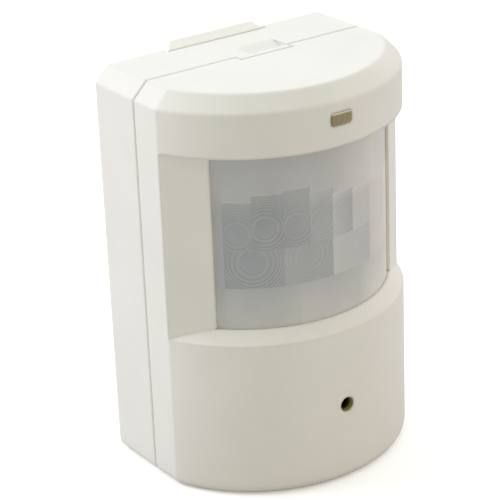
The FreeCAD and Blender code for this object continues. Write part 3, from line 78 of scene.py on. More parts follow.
class Look:
    """One material: its node graph, with short calls to add to it."""

    def __init__(self, name):
        self.material = bpy.data.materials.new(name)
        self.material.use_nodes = True
        self.tree = self.material.node_tree
        self.surface = self.tree.nodes["Principled BSDF"]
        self.place = self.add("ShaderNodeTexCoord").outputs["Object"]

    def add(self, kind, **settings):
        node = self.tree.nodes.new(kind)
        for name, value in settings.items():
            setattr(node, name, value)
        return node

    def feed(self, socket, value):
        """Link an output to a socket, or set the socket to a plain value."""
        if isinstance(value, bpy.types.NodeSocket):
            self.tree.links.new(value, socket)
        elif socket.type == "RGBA" and len(value) == 3:
            socket.default_value = (*value, 1.0)
        else:
            socket.default_value = value

    def set(self, **inputs):
        """Feed inputs of the Principled shader; underscores in a name stand for spaces."""
        for name, value in inputs.items():
            self.feed(self.surface.inputs[name.replace("_", " ")], value)

    def noise(self, scale, detail=2.0, roughness=0.5, stretch=(1, 1, 1)):
        """Noise with scale spots to the metre; a stretch below 1 draws it out along an axis."""
        mapping = self.add("ShaderNodeMapping")
        self.feed(mapping.inputs["Vector"], self.place)
        mapping.inputs["Scale"].default_value = stretch
        texture = self.add("ShaderNodeTexNoise")
        self.feed(texture.inputs["Vector"], mapping.outputs["Vector"])
        self.feed(texture.inputs["Scale"], scale)
        self.feed(texture.inputs["Detail"], detail)
        self.feed(texture.inputs["Roughness"], roughness)
        return texture.outputs["Fac"]

    def speckle(self, scale, low, high, band=(0.3, 0.7), **details):
        """Noise whose values over a band run from low to high and stop there."""
        return self.remap(self.noise(scale, **details), *band, low, high)

    def cells(self, scale):
        texture = self.add("ShaderNodeTexVoronoi")
        self.feed(texture.inputs["Vector"], self.place)
        self.feed(texture.inputs["Scale"], scale)
        return texture.outputs["Distance"]

    def bands(self, scale, direction):
        texture = self.add("ShaderNodeTexWave", bands_direction=direction)
        self.feed(texture.inputs["Vector"], self.place)
        self.feed(texture.inputs["Scale"], scale)
        return texture.outputs["Fac"]

    def remap(self, value, from_low, from_high, to_low, to_high):
        node = self.add("ShaderNodeMapRange")
        for socket, amount in zip(node.inputs, (value, from_low, from_high, to_low, to_high)):
            self.feed(socket, amount)
        return node.outputs["Result"]

    def calculate(self, operation, first, second):
        node = self.add("ShaderNodeMath", operation=operation)
        self.feed(node.inputs[0], first)
        self.feed(node.inputs[1], second)
        return node.outputs["Value"]

    def blend(self, factor, first, second):
        node = self.add("ShaderNodeMix", data_type="RGBA")
        self.feed(node.inputs["Factor"], factor)
        self.feed(node.inputs[6], first)
        self.feed(node.inputs[7], second)
        return node.outputs[2]

    def overlay(self, factor, colour):
        """Lay a colour over the base colour that was linked before."""
        base = self.surface.inputs["Base Color"].links[0].from_socket
        self.set(Base_Color=self.blend(factor, base, colour))

    def normal(self):
        return self.add("ShaderNodeNewGeometry").outputs["Normal"]

    def along(self, axis, vector):
        """The part of a vector along "X", "Y" or "Z"."""
        parts = self.add("ShaderNodeSeparateXYZ")
        self.feed(parts.inputs[0], vector)
        return parts.outputs[axis]

    def rounded(self, radius):
        """The surface normal with edges softened over the given radius."""
        node = self.add("ShaderNodeBevel", samples=6)
        self.feed(node.inputs["Radius"], radius)
        return node.outputs["Normal"]

    def edges(self, radius):
        """1 along outer and inner edges, 0 on open surfaces."""
        product = self.add("ShaderNodeVectorMath", operation="DOT_PRODUCT")
        self.feed(product.inputs[0], self.rounded(radius))
        self.feed(product.inputs[1], self.normal())
        return self.remap(product.outputs["Value"], 1.0, 0.8, 0.0, 1.0)

    def bump(self, height, distance, normal=None):
        node = self.add("ShaderNodeBump")
        self.feed(node.inputs["Height"], height)
        self.feed(node.inputs["Distance"], distance)
        self.feed(node.inputs["Strength"], 1.0)
        if normal is not None:
            self.feed(node.inputs["Normal"], normal)
        return node.outputs["Normal"]


def shade(colour, factor, lift=0.0):
    """A darker or lighter tone of a colour."""
    return tuple(min(1.0, channel * factor + lift) for channel in colour)


GRAIN_SPACING = 0.28 * MM
METAL_EDGE = 0.12 * MM


def moulded(name, colour, roughness, grain=0.012, edge=0.3, wear=0.35):
    """Moulded plastic: a fine eroded grain, slow tone changes, edges rubbed smoother and lighter.

    In millimetres, grain is the height of the grain and edge the radius of the edges. wear is the
    greatest share of the rubbed tone along them.
    """
    look = Look(name)
    grit = look.noise(1 / GRAIN_SPACING, detail=3.0, roughness=0.6)
    patches = look.speckle(55.0, 0.0, 1.0, detail=3.0)
    rubbed = look.speckle(900.0, 0.2 * wear, wear, band=(0.35, 0.65))
    worn = look.calculate("MULTIPLY", look.edges(edge * MM), rubbed)
    base = look.blend(patches, shade(colour, 0.975), shade(colour, 1.015))
    fine = look.blend(look.remap(grit, 0.3, 0.7, 0.0, 0.06), base, shade(colour, 0.8))
    look.set(Base_Color=look.blend(worn, fine, shade(colour, 1.1, lift=0.02)))
    rough = look.speckle(130.0, roughness - 0.05, roughness + 0.06, detail=4.0)
    polish = look.calculate("MULTIPLY", worn, 0.25)
    look.set(Roughness=look.calculate("SUBTRACT", rough, polish))
    look.set(Normal=look.bump(grit, grain * MM, look.rounded(edge * MM)))
    return look


def rolled_metal(name, colour, roughness):
    """Plated or drawn metal: fine lines from the tool, blotchy plating, brighter edges."""
    look = Look(name)
    lines = look.noise(7000.0, stretch=(1, 1, 0.06))
    blotches = look.speckle(420.0, 0.0, 1.0, band=(0.35, 0.65), detail=3.0)
    tone = look.blend(blotches, shade(colour, 0.8), colour)
    bright = look.calculate("MULTIPLY", look.edges(METAL_EDGE), 0.5)
    look.set(Base_Color=look.blend(bright, tone, shade(colour, 1.2)), Metallic=1.0)
    look.set(Roughness=look.remap(lines, 0.3, 0.7, roughness - 0.06, roughness + 0.1))
    look.set(Normal=look.bump(lines, 0.006 * MM, look.rounded(METAL_EDGE)))
    return look


def solder_mask(name, colour):
    """A coated glass-fibre board: woven relief under a glossy coat, copper showing through."""
    look = Look(name)
    weave = look.calculate("MULTIPLY", look.bands(620.0, "X"), look.bands(620.0, "Z"))
    copper = look.remap(look.cells(170.0), 0.32, 0.36, 0.0, 1.0)
    tone = look.blend(copper, shade(colour, 0.75), shade(colour, 1.35))
    threads = look.remap(weave, 0.0, 1.0, 0.0, 0.25)
    look.set(Base_Color=look.blend(threads, tone, shade(colour, 1.7)))
    look.set(Roughness=look.speckle(600.0, 0.28, 0.42), Coat_Weight=0.4, Coat_Roughness=0.15)
    relief = look.calculate("ADD", weave, copper)
    look.set(Normal=look.bump(relief, 0.02 * MM, look.rounded(0.15 * MM)))
    return look


def coated_glass(name, colour):
    """A small glass bead with a coloured coating, a few dust specks and polishing marks."""
    look = Look(name)
    dust = look.speckle(5200.0, 0.0, 1.0, band=(0.62, 0.7), detail=4.0)
    look.set(Base_Color=look.blend(dust, colour, (0.5, 0.5, 0.46)))
    look.set(Roughness=look.calculate("ADD", 0.06, look.calculate("MULTIPLY", dust, 0.4)))
    look.set(Coat_Weight=0.8, Coat_Roughness=0.04)
    look.set(Normal=look.bump(look.noise(2500.0), 0.004 * MM))
    return look


def tinted_resin(name, colour, roughness, haze, depth=0.25):
    """Clear cast plastic with a tint: deeper tone in the body, haze and flow marks at the skin.

    depth is the share of the light that spreads inside before it comes out again.
    """
    look = Look(name)
    flow = look.noise(300.0, detail=4.0, stretch=(0.3, 1, 1))
    clouded = look.remap(flow, 0.35, 0.65, 0.0, haze)
    look.set(Base_Color=look.blend(clouded, colour, shade(colour, 1.5)))
    look.set(Roughness=look.speckle(1800.0, roughness, roughness + 0.12))
    look.set(Coat_Weight=0.5, Coat_Roughness=0.12)
    look.set(Subsurface_Weight=depth, Subsurface_Scale=1.5 * MM)
    look.set(Normal=look.bump(flow, 0.02 * MM, look.rounded(0.2 * MM)))
    return look


def light_guide(name, colour, rim):
    """Tinted resin with a painted highlight on its upward faces, for the light its edges gather.
    """
    look = tinted_resin(name, colour, 0.22, 0.6)
    painted_highlight = look.remap(look.along("Z", look.normal()), 0.25, 0.7, 0.0, 0.85)
    look.overlay(painted_highlight, rim)
    return look


def smoked_bush(name, colour, node):
    """Tinted resin of a bush, lit at its mouth, with painted shade that darkens it further in."""
    look = tinted_resin(name, colour, 0.3, 0.4, depth=0.0)
    mouth = min(vertex.co.y for vertex in nodes[node].data.vertices)
    lit_to, dark_from = (mouth + reach for reach in BUSH_SHADE_DEPTHS)
    # painted shade: darker further in from the mouth
    look.overlay(look.remap(look.along("Y", look.place), lit_to, dark_from, 0.0, 1.0), BUSH_PAINTED_SHADE)
    return look


def ribbed_film(name, colour):
    """A flat ribbon cable: its wires show as ribs along the ribbon, painted shade in the troughs.
    """
    look = Look(name)
    ribs = look.bands(520.0, "X")
    crests = look.remap(ribs, 0.2, 0.8, 0.0, 1.0)
    # painted shade: the troughs between the ribs are darker than the crests
    look.set(Base_Color=look.blend(crests, shade(colour, 0.72), colour))
    look.set(Roughness=look.speckle(900.0, 0.38, 0.52))
    look.set(Normal=look.bump(ribs, 0.12 * MM))
    return look


def soft_rubber(name, colour):
    """Matt rubber with a powdery bloom."""
    look = Look(name)
    bloom = look.speckle(700.0, 0.0, 0.5, band=(0.4, 0.75), detail=5.0)
    look.set(Base_Color=look.blend(bloom, colour, (0.12, 0.12, 0.12)))
    look.set(Roughness=look.remap(bloom, 0.0, 0.5, 0.6, 0.85))
    look.set(Normal=look.bump(look.noise(2600.0, detail=3.0), 0.03 * MM, look.rounded(0.3 * MM)))
    return look


def milky_sheet(name):
    """The lens sheet: a milky plastic whose colour is painted darker where it is seen square on
    and lighter towards a grazing view, a painted sheen.

    The mesh attribute "tone" is painted light and shade: it says how much light each lens
    segment sends back.
    """
    look = Look(name)
    tone = look.add("ShaderNodeAttribute", attribute_name="tone").outputs["Fac"]
    weight = look.add("ShaderNodeLayerWeight")
    weight.inputs["Blend"].default_value = 0.5
    # painted sheen: the colour grows lighter as the view turns from square on to grazing
    slant = look.remap(weight.outputs["Facing"], 0.0, 0.6, 0.0, 1.0)
    painted_sheen = look.calculate("MULTIPLY", slant, 0.5)
    from_tone = look.calculate("MULTIPLY", tone, 0.6)
    cloud = look.speckle(120.0, -0.03, 0.03, detail=3.0)
    share = look.calculate("ADD", look.calculate("ADD", painted_sheen, from_tone), cloud)
    look.set(Base_Color=look.blend(share, SHEET_DARK, SHEET_LIGHT))
    look.set(Roughness=look.speckle(700.0, 0.4, 0.5), Specular_IOR_Level=0.4)
    look.set(Normal=look.bump(look.noise(1500.0), 0.006 * MM))
    return look


IVORY = (0.82, 0.805, 0.755)
# The dark and light ends of the lens sheet's painted light and shade.
SHEET_DARK, SHEET_LIGHT = (0.295, 0.325, 0.365), (0.86, 0.84, 0.79)
# Painted shade inside the pinhole bush, and the depths over which it comes in.
BUSH_PAINTED_SHADE = (0.045, 0.036, 0.028)
BUSH_SHADE_DEPTHS = (0.9 * MM, 1.4 * MM)      # depths in the bush between which the painted shade sets in
looks = {
    "ivory_abs": moulded("ivory_abs", IVORY, 0.42, edge=1.2),
    "plate_abs": moulded("plate_abs", (0.95, 0.945, 0.91), 0.42, edge=0.5),
    "frame_plastic": moulded("frame_plastic", (0.72, 0.70, 0.64), 0.55, grain=0.02),
    "lens_plastic": milky_sheet("lens_plastic"),
    # the second colour is the painted highlight on the pipe's upward faces
    "light_pipe": light_guide("light_pipe", (0.27, 0.22, 0.10), (0.74, 0.71, 0.60)),
    "circuit_board": solder_mask("circuit_board", (0.03, 0.17, 0.07)),
    "steel": rolled_metal("steel", (0.62, 0.61, 0.58), 0.3),
    "sensor_steel": rolled_metal("sensor_steel", (0.72, 0.70, 0.66), 0.22),
    "filter_glass": coated_glass("filter_glass", (0.025, 0.02, 0.03)),
    "led_resin": tinted_resin("led_resin", (0.55, 0.03, 0.02), 0.15, 0.4),
    "black_plastic": moulded("black_plastic", (0.022, 0.022, 0.024), 0.48, wear=0.6),
    "white_plastic": moulded("white_plastic", (0.78, 0.78, 0.74), 0.45),
    "green_plastic": moulded("green_plastic", (0.04, 0.26, 0.10), 0.42),
    "blue_plastic": moulded("blue_plastic", (0.03, 0.12, 0.45), 0.4),
    "can_aluminium": rolled_metal("can_aluminium", (0.30, 0.31, 0.34), 0.34),
    "black_metal": rolled_metal("black_metal", (0.035, 0.034, 0.033), 0.38),
    "bead_glass": coated_glass("bead_glass", (0.10, 0.11, 0.035)),
    "cable_film": ribbed_film("cable_film", (0.72, 0.69, 0.60)),
    "rubber": soft_rubber("rubber", (0.025, 0.025, 0.025)),
    "smoked_plastic": smoked_bush("smoked_plastic", (0.36, 0.335, 0.09), "pinhole_bezel"),
}
for entry in frame["record"]["subparts"]:
    mesh = nodes[entry["node"]].data
    mesh.materials.clear()
    mesh.materials.append(looks[entry["material_slot"]].material)


# ---------------------------------------------------------------- new pieces

def add_piece(name, mesh, body, slot_name, smooth=True):
    """Put a finished mesh into the scene on a CAD body, with the look of a material slot."""
    mesh.validate()
    mesh.polygons.foreach_set("use_smooth", [smooth] * len(mesh.polygons))
    mesh.materials.append(looks[slot_name].material)
    piece = bpy.data.objects.new(name, mesh)
    scene.collection.objects.link(piece)
    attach(piece, body)
    return piece


def curve_of(node):
    """(outer radius, inner radius, Y of the axis) of a node that is part of an upright tube."""
    points = np.array([v.co for v in nodes[node].data.vertices], float)
    front = points[:, 1].min()
    end = points[points[:, 0].argmax()]
    rise = end[1] - front
    outer = (end[0] ** 2 + rise ** 2) / (2 * rise)
    axis_y = front + outer
    inner = np.hypot(points[:, 0], points[:, 1] - axis_y).min()
    return outer, inner, axis_y


# The moulded lens carries three rows of lens segments with a plain band above. Lengths in
# millimetres: S runs along the curve from the middle, Z upwards.
# A segment: (left edge, right edge, bottom, top, S and Z of the ring centre, radius of the
# middle disc, tone, tone at the top, how clear its rings are, tone gained from left to right).
# Tone is painted light and shade, with painted light and dark rings. Tone 0 is dark, where the
# sheet lets most of the dark inside show.
ROW_SPLIT = -6.9
ROW_BOTTOM = -16.4
TOP_DISC = 2.75
MIDDLE_DISC = 3.2
LENS_SEGMENTS = (
    (-27.0, -20.2, ROW_SPLIT, 5.2, -23.7, -2.65, TOP_DISC, 0.14, 0.36, 0.6, 0.0),
    (-20.2, -12.7, ROW_SPLIT, 6.9, -17.1, -1.5, TOP_DISC, 0.12, 0.34, 1.0, 0.0),
    (-12.7, -6.1, ROW_SPLIT, 7.4, -9.6, -1.5, TOP_DISC, 0.12, 0.28, 0.6, -0.05),
    (-6.1, 0.3, ROW_SPLIT, 6.0, -3.0, -1.5, TOP_DISC, 0.12, 0.42, 0.4, -0.15),
    (0.3, 6.6, ROW_SPLIT, 4.2, 3.4, -1.5, TOP_DISC, 0.12, 0.42, 0.3, -0.55),
    (6.6, 13.8, ROW_SPLIT, 3.6, 10.0, -1.5, TOP_DISC, 0.19, 0.40, 0.08, -0.32),
    (13.8, 20.4, ROW_SPLIT, 3.6, 17.0, -1.5, TOP_DISC, 0.25, 0.35, 0.1, 0.1),
    (20.4, 27.0, ROW_SPLIT, 3.6, 23.7, -1.5, TOP_DISC, 0.36, 0.38, 0.1, 0.25),
    (-27.0, -12.7, ROW_BOTTOM, ROW_SPLIT, -20.3, -9.8, MIDDLE_DISC, 0.17, 0.17, 1.0, 0.05),
    (-12.7, 0.1, ROW_BOTTOM, ROW_SPLIT, -6.6, -9.8, MIDDLE_DISC, 0.17, 0.17, 0.4, -0.36),
    (0.1, 13.6, ROW_BOTTOM, ROW_SPLIT, 6.6, -9.8, MIDDLE_DISC, 0.20, 0.20, 0.08, -0.67),
    (13.6, 27.0, ROW_BOTTOM, ROW_SPLIT, 20.3, -9.8, MIDDLE_DISC, 0.27, 0.27, 0.1, 0.3),
)
# The lowest row has upright grooves: (left edge, right edge, tone, tone gained to the right).
LOWER_SEGMENTS = ((-27.0, -9.0, 0.41, 0.0), (-9.0, 9.6, 0.24, -0.5), (9.6, 27.0, 0.12, 0.15))
LOWER_PITCH = 0.5
LOWER_GROOVE = 0.02
LOWER_GLOW = 0.035           # tone gained with each millimetre downwards below the middle row
RING_GROOVE = 0.11
BLURRED_GROOVE = 0.15        # share of the groove's depth that is left where rings are blurred
# painted light and dark bands along the rings
RING_TONE = 0.3
PLAIN_TONE = 0.44
PLAIN_LEAN = -0.006          # tone gained with each millimetre to the right on the plain band
# Painted tones of the side strips; the right one is painted light to lift the shade it lies in.
LEFT_TONE, RIGHT_TONE = 0.37, 0.85
SIDE_FADE = (2.0, 9.0)       # heights between which the side strips turn into the plain band
LENS_STEP = 0.12
BORDER_STEP = 0.04
HIDDEN = 1.1                 # width of the sheet's border behind the edges of the opening
RIM_RISE, RIM_WIDTH = 0.13, 0.5
RIM_LEVELS, LOWER_LEVELS, UPPER_LEVELS = 5, 8, 6     # rows of points where no rings need more


def lens_relief(s, z, end_s, low_z, high_z):
    """(depth below the smooth sheet, tone) in millimetres at arrays of positions on the sheet."""
    depth = np.zeros_like(s)
    # tone is painted light and shade, set segment by segment below
    tone = PLAIN_TONE + PLAIN_LEAN * s
    first, last = LENS_SEGMENTS[0][0], LENS_SEGMENTS[-1][1]
    side = np.clip((SIDE_FADE[1] - z) / (SIDE_FADE[1] - SIDE_FADE[0]), 0, 1)
    tone = np.where(s < first, tone + (LEFT_TONE - tone) * side, tone)
    tone = np.where(s > last, tone + (RIGHT_TONE - tone) * side, tone)
    for (left, right, low, high, centre_s, centre_z, disc,
         segment_tone, top_tone, clear, lean) in LENS_SEGMENTS:
        here = (s > left) & (s < right) & (z > low) & (z < high)
        across = lean * ((s[here] - left) / (right - left) - 0.5)
        zone = np.hypot(s - centre_s, z - centre_z)[here] ** 2 / disc ** 2
        phase = zone % 1.0
        sharpness = BLURRED_GROOVE + (1 - BLURRED_GROOVE) * clear
        depth[here] = BORDER_STEP + RING_GROOVE * sharpness * phase
        disc_top = min(centre_z + disc, high - LENS_STEP)
        fade = np.clip((z[here] - disc_top) / (high - disc_top), 0, 1)
        fainter = np.sqrt(np.maximum(zone, 1))
        rings = np.where(zone > 1, RING_TONE * clear * (0.5 - phase) / fainter, 0)
        tone[here] = segment_tone + (top_tone - segment_tone) * fade + across + rings
    for left, right, segment_tone, lean in LOWER_SEGMENTS:
        here = (s > left) & (s < right) & (z < ROW_BOTTOM)
        groove = (np.abs(s - (left + right) / 2)[here] / LOWER_PITCH) % 1.0
        depth[here] = BORDER_STEP + LOWER_GROOVE * groove
        tone[here] = segment_tone + lean * ((s[here] - left) / (right - left) - 0.5)
    tone += LOWER_GLOW * np.maximum(ROW_BOTTOM - z, 0)
    inside = np.minimum(end_s - np.abs(s), np.minimum(z - low_z, high_z - z)) - HIDDEN
    rim = np.clip(1 - inside / RIM_WIDTH, 0, 1)
    return depth - RIM_RISE * rim * rim * (3 - 2 * rim), tone


def make_lens():
    """The curved sheet with its Fresnel rings cut into the outside."""
    outer, inner, axis_y = (value / MM for value in curve_of("fresnel_lens"))
    low, high = (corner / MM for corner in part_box("fresnel_lens"))
    half_angle = math.asin(high.x / outer)
    columns = int(2 * half_angle * outer / LENS_STEP)
    angles = np.linspace(-half_angle, half_angle, columns + 1)
    fine_high = max(segment[3] for segment in LENS_SEGMENTS)
    border = np.linspace(HIDDEN, HIDDEN + RIM_WIDTH, RIM_LEVELS)
    ring_levels = int((fine_high - ROW_BOTTOM) / LENS_STEP)
    levels = np.concatenate([
        [low.z], low.z + border,
        np.linspace(low.z + border[-1] + RIM_WIDTH, ROW_BOTTOM - 2 * LENS_STEP, LOWER_LEVELS),
        np.linspace(ROW_BOTTOM - LENS_STEP, fine_high + LENS_STEP, ring_levels),
        np.linspace(fine_high + 2 * LENS_STEP, high.z - border[-1] - RIM_WIDTH, UPPER_LEVELS),
        high.z - border[::-1], [high.z]])
    angle, z = np.meshgrid(angles, levels)
    depth, tone = lens_relief(angle * outer, z, half_angle * outer, low.z, high.z)
    front = outer - depth
    rows, across = angle.shape
    count = rows * across
    sine, cosine = np.sin(angle), np.cos(angle)
    outside = np.stack([front * sine, axis_y - front * cosine, z], -1).reshape(-1, 3)
    inside = np.stack([inner * sine, axis_y - inner * cosine, z], -1).reshape(-1, 3)
    index = np.arange(count).reshape(rows, across)
    a, b, c, d = index[:-1, :-1], index[:-1, 1:], index[1:, 1:], index[1:, :-1]
    faces = np.stack([a, b, c, d], -1).reshape(-1, 4)
    back = np.stack([a, d, c, b], -1).reshape(-1, 4) + count
    loop = np.concatenate([index[0, :], index[1:, -1], index[-1, -2::-1], index[-2:0:-1, 0]])
    following = np.roll(loop, -1)
    rim = np.stack([following, loop, loop + count, following + count], -1)
    mesh = bpy.data.meshes.new("lens_sheet")
    points = np.concatenate([outside, inside]) * MM
    mesh.from_pydata(points.tolist(), [], np.concatenate([faces, back, rim]).tolist())
    # the painted light and shade goes onto the sheet as its "tone"
    attribute = mesh.attributes.new("tone", "FLOAT", "POINT")
    attribute.data.foreach_set("value", np.tile(tone.ravel(), 2).astype(np.float32))
    piece = add_piece("lens_sheet", mesh, "cover", "lens_plastic")
    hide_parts("fresnel_lens")


make_lens()


# Small parts, domes of solder over the vias and raised tracks fill what is free on the main board.
SMALL_PART_COUNT = 26
VIA_COUNT = 46
TRACK_COUNT = 22
SPOT_TRIES = 400
BOARD_MARGIN = 1.6 * MM
NEIGHBOUR_GAP = 0.5 * MM
NEAR_BOARD = 1.0 * MM                          # parts this close to the board take up its face
WIDE_SHARE = 0.9                               # a node this wide is a set of parts in corners
SMALL_PART = Vector((1.0, 0.5, 2.0)) * MM      # an upright body; turned ones swap X and Z
SMALL_PART_EDGE = 0.08 * MM
END_SHARE = 0.24                               # share of its length that each metal end takes
END_SWELL = 1.06                               # how much thicker than the body an end is
VIA_RADIUS = 0.33 * MM
DOME_HEIGHT = 0.55                             # height of a solder dome over its radius
TRACK_WIDTH = 0.45 * MM
TRACK_RISE = 0.06 * MM
TRACK_EDGE = 0.02 * MM
TRACK_LENGTHS = (3.0 * MM, 9.0 * MM)


def rounded_block(shape, middle, size, edge):
    """A block with rounded edges, added to a bmesh."""
    block = bmesh.ops.create_cube(shape, size=1.0)["verts"]
    bmesh.ops.scale(shape, vec=size, verts=block)
    bmesh.ops.translate(shape, vec=middle, verts=block)
    around = list({line for vert in block for line in vert.link_edges})
    bmesh.ops.bevel(shape, geom=around, offset=edge, segments=2, affect="EDGES")


def solder_dome(shape, middle, radius):
    """A low dome of solder on a face that points along -Y."""
    dome = bmesh.ops.create_uvsphere(shape, u_segments=12, v_segments=8, radius=radius)["verts"]
    bmesh.ops.scale(shape, vec=(1.0, DOME_HEIGHT, 1.0), verts=dome)
    bmesh.ops.translate(shape, vec=middle, verts=dome)


def shape_piece(name, shape, slot_name, smooth=False):
    """Turn a bmesh into a piece that rides on the housing."""
    mesh = bpy.data.meshes.new(name)
    bmesh.ops.recalc_face_normals(shape, faces=shape.faces)
    shape.to_mesh(mesh)
    shape.free()
    add_piece(name, mesh, "housing", slot_name, smooth)


def corner_areas(node):
    """(left, right, bottom, top) of what a node has in each of its four corners."""
    points = np.array([v.co for v in nodes[node].data.vertices], float)[:, (0, 2)]
    upper = points > (points.min(0) + points.max(0)) / 2
    areas = []
    for corner in ((False, False), (False, True), (True, False), (True, True)):
        part = points[(upper == corner).all(1)]
        (left, bottom), (right, top) = part.min(0), part.max(0)
        areas.append((left, right, bottom, top))
    return areas


def make_board_details():
    """Small parts, solder domes and raised tracks on the free areas of the main board's front."""
    low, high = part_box("main_board")
    face = low.y
    taken = []
    for entry in frame["record"]["subparts"]:
        part_low, part_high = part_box(entry["node"])
        in_front = part_low.y < face and part_high.y > face - NEAR_BOARD
        if not in_front or part_high.x > high.x:
            continue
        if part_high.x - part_low.x < WIDE_SHARE * (high.x - low.x):
            taken.append((part_low.x, part_high.x, part_low.z, part_high.z))
        else:
            taken.extend(corner_areas(entry["node"]))

    def is_free(x, z, half_x, half_z):
        if abs(x) + half_x > high.x - BOARD_MARGIN:
            return False
        if z - half_z < low.z + BOARD_MARGIN or z + half_z > high.z - BOARD_MARGIN:
            return False
        return all(x + half_x + NEIGHBOUR_GAP < left or x - half_x - NEIGHBOUR_GAP > right
                   or z + half_z + NEIGHBOUR_GAP < bottom or z - half_z - NEIGHBOUR_GAP > top
                   for left, right, bottom, top in taken)

    def free_spot(half_x, half_z):
        for _ in range(SPOT_TRIES):
            x = draw.uniform(low.x, high.x)
            z = draw.uniform(low.z, high.z)
            if is_free(x, z, half_x, half_z):
                taken.append((x - half_x, x + half_x, z - half_z, z + half_z))
                return x, z
        return None

    draw = random.Random(SEED)
    bodies, ends, domes, tracks = (bmesh.new() for _ in range(4))
    for number in range(SMALL_PART_COUNT):
        size = SMALL_PART.copy()
        if number % 2:
            size.x, size.z = size.z, size.x
        spot = free_spot(size.x / 2, size.z / 2)
        if spot is None:
            continue
        middle = Vector((spot[0], face - size.y / 2, spot[1]))
        rounded_block(bodies, middle, size, SMALL_PART_EDGE)
        along = Vector((1, 0, 0)) if number % 2 else Vector((0, 0, 1))
        length = SMALL_PART.z
        for side in (-1, 1):
            cap = Vector(tuple(END_SHARE * length if axis else side_size * END_SWELL
                               for axis, side_size in zip(along, size)))
            shift = side * length * (1 - END_SHARE + END_SHARE * (END_SWELL - 1)) / 2
            rounded_block(ends, middle + along * shift, cap, SMALL_PART_EDGE)
    for number in range(VIA_COUNT):
        spot = free_spot(VIA_RADIUS, VIA_RADIUS)
        if spot is not None:
            solder_dome(domes, Vector((spot[0], face, spot[1])), VIA_RADIUS)
    for number in range(TRACK_COUNT):
        upright = number % 2 == 0
        length = draw.uniform(*TRACK_LENGTHS)
        size = Vector((TRACK_WIDTH, TRACK_RISE, length))
        if not upright:
            size.x, size.z = size.z, size.x
        spot = free_spot(size.x / 2, size.z / 2)
        if spot is None:
            continue
        rounded_block(tracks, Vector((spot[0], face - TRACK_RISE / 2, spot[1])), size, TRACK_EDGE)
        for side in (-1, 1):
            end = Vector((0, 0, side * length / 2) if upright else (side * length / 2, 0, 0))
            solder_dome(tracks, Vector((spot[0], face, spot[1])) + end, TRACK_WIDTH)
    shape_piece("small_part_bodies", bodies, "black_plastic")
    shape_piece("small_part_ends", ends, "steel")
    shape_piece("solder_domes", domes, "steel", smooth=True)
    shape_piece("raised_tracks", tracks, "circuit_board")


make_board_details()


# ---------------------------------------------------------------- floor, light and camera

FLOOR_SIZE = 6.0
FLOOR_GAP = 0.05 * MM
FLOOR_GLOW = 0.25            # light of its own that only the camera sees


def make_floor():
    mesh = bpy.data.meshes.new("floor")
    shape = bmesh.new()
    bmesh.ops.create_grid(shape, x_segments=4, y_segments=4, size=FLOOR_SIZE)
    bmesh.ops.translate(shape, verts=shape.verts, vec=(0, 0, cad_low.z - FLOOR_GAP))
    shape.to_mesh(mesh)
    shape.free()
    floor = bpy.data.objects.new("floor", mesh)
    scene.collection.objects.link(floor)
    look = Look("pale_floor")
    seen = look.blend(look.noise(8.0), (0.965, 0.965, 0.96), (0.985, 0.985, 0.98))
    direct = look.add("ShaderNodeLightPath").outputs["Is Camera Ray"]
    look.set(Base_Color=look.blend(direct, (0.70, 0.70, 0.70), seen))
    look.set(Roughness=0.9, Specular_IOR_Level=0.1)
    glow = look.calculate("MULTIPLY", direct, FLOOR_GLOW)
    look.set(Emission_Color=(1.0, 1.0, 1.0), Emission_Strength=glow)
    mesh.materials.append(look.material)


# Light from a direction d on the world sphere: WORLD_EVEN + d.x * WORLD_LEAN[0] + d.y * ... (red,
# green, blue). The panel stands behind the object on the left.
WORLD_EVEN = (0.71, 0.60, 0.56)
WORLD_LEAN = ((0.46, 0.39, 0.44), (0.08, 0.16, 0.26), (0.25, 0.47, 0.49))
PANEL_PLACE = Vector((-0.597, 0.501, 0.45))
PANEL_SIZE = 0.5
PANEL_POWER = 4.5
PANEL_COLOUR = (0.97, 0.89, 1.0)


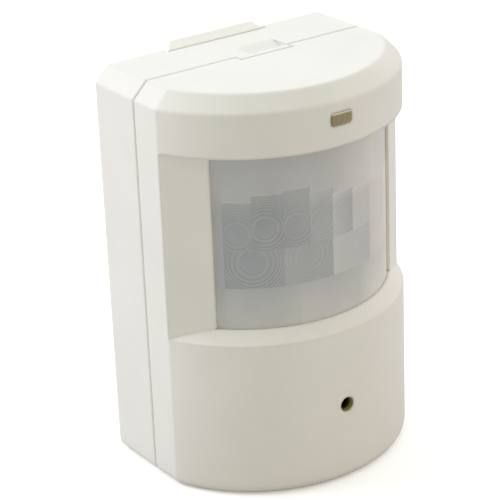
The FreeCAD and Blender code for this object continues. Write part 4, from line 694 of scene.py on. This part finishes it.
def make_light():
    """Soft light from all round, leaning to one side, a panel, and a white backdrop."""
    world = bpy.data.worlds.new("studio")
    scene.world = world
    world.use_nodes = True
    tree = world.node_tree
    tree.nodes.clear()
    add = tree.nodes.new
    link = tree.links.new
    split = add("ShaderNodeSeparateXYZ")
    link(add("ShaderNodeTexCoord").outputs["Generated"], split.inputs[0])
    even = add("ShaderNodeCombineXYZ")
    for socket, amount in zip(even.inputs, WORLD_EVEN):
        socket.default_value = amount
    colour = even.outputs[0]
    for along, lean in zip(split.outputs, WORLD_LEAN):
        step = add("ShaderNodeVectorMath")
        step.operation = "MULTIPLY_ADD"
        link(along, step.inputs[0])
        step.inputs[1].default_value = lean
        link(colour, step.inputs[2])
        colour = step.outputs["Vector"]
    soft = add("ShaderNodeBackground")
    link(colour, soft.inputs["Color"])
    backdrop = add("ShaderNodeBackground")
    backdrop.inputs["Color"].default_value = (1, 1, 1, 1)
    choose = add("ShaderNodeMixShader")
    link(add("ShaderNodeLightPath").outputs["Is Camera Ray"], choose.inputs["Fac"])
    link(soft.outputs[0], choose.inputs[1])
    link(backdrop.outputs[0], choose.inputs[2])
    link(choose.outputs[0], add("ShaderNodeOutputWorld").inputs["Surface"])
    scene.view_settings.view_transform = "Standard"
    panel = bpy.data.lights.new("side_panel", "AREA")
    panel.size = PANEL_SIZE
    panel.energy = PANEL_POWER
    panel.color = PANEL_COLOUR
    light = bpy.data.objects.new("side_panel", panel)
    light.location = PANEL_PLACE
    light.rotation_mode = "QUATERNION"
    light.rotation_quaternion = (-PANEL_PLACE).to_track_quat("-Z", "Y")
    scene.collection.objects.link(light)


CAMERA_PLACE = Vector((-268.75, -398.07, 181.87)) * MM
CAMERA_TARGET = Vector((-1.24, -13.2, -20.33)) * MM
CAMERA_ROLL = math.radians(-2.3)
SENSOR_WIDTH = 36.0
FOCAL_LENGTH = 147.64


def make_camera():
    """A long lens from the left and above, with the slight roll of a hand-held camera."""
    data = bpy.data.cameras.new("camera")
    data.sensor_width = SENSOR_WIDTH
    data.lens = FOCAL_LENGTH
    data.clip_start = 0.01
    camera = bpy.data.objects.new("camera", data)
    back = (CAMERA_PLACE - CAMERA_TARGET).normalized()
    right = Vector((0, 0, 1)).cross(back).normalized()
    up = back.cross(right)
    turned_right = math.cos(CAMERA_ROLL) * right + math.sin(CAMERA_ROLL) * up
    turned_up = math.cos(CAMERA_ROLL) * up - math.sin(CAMERA_ROLL) * right
    turn = Matrix((turned_right, turned_up, back)).transposed().to_4x4()
    camera.matrix_world = Matrix.Translation(CAMERA_PLACE) @ turn
    scene.collection.objects.link(camera)
    scene.camera = camera


make_floor()
make_light()
make_camera()
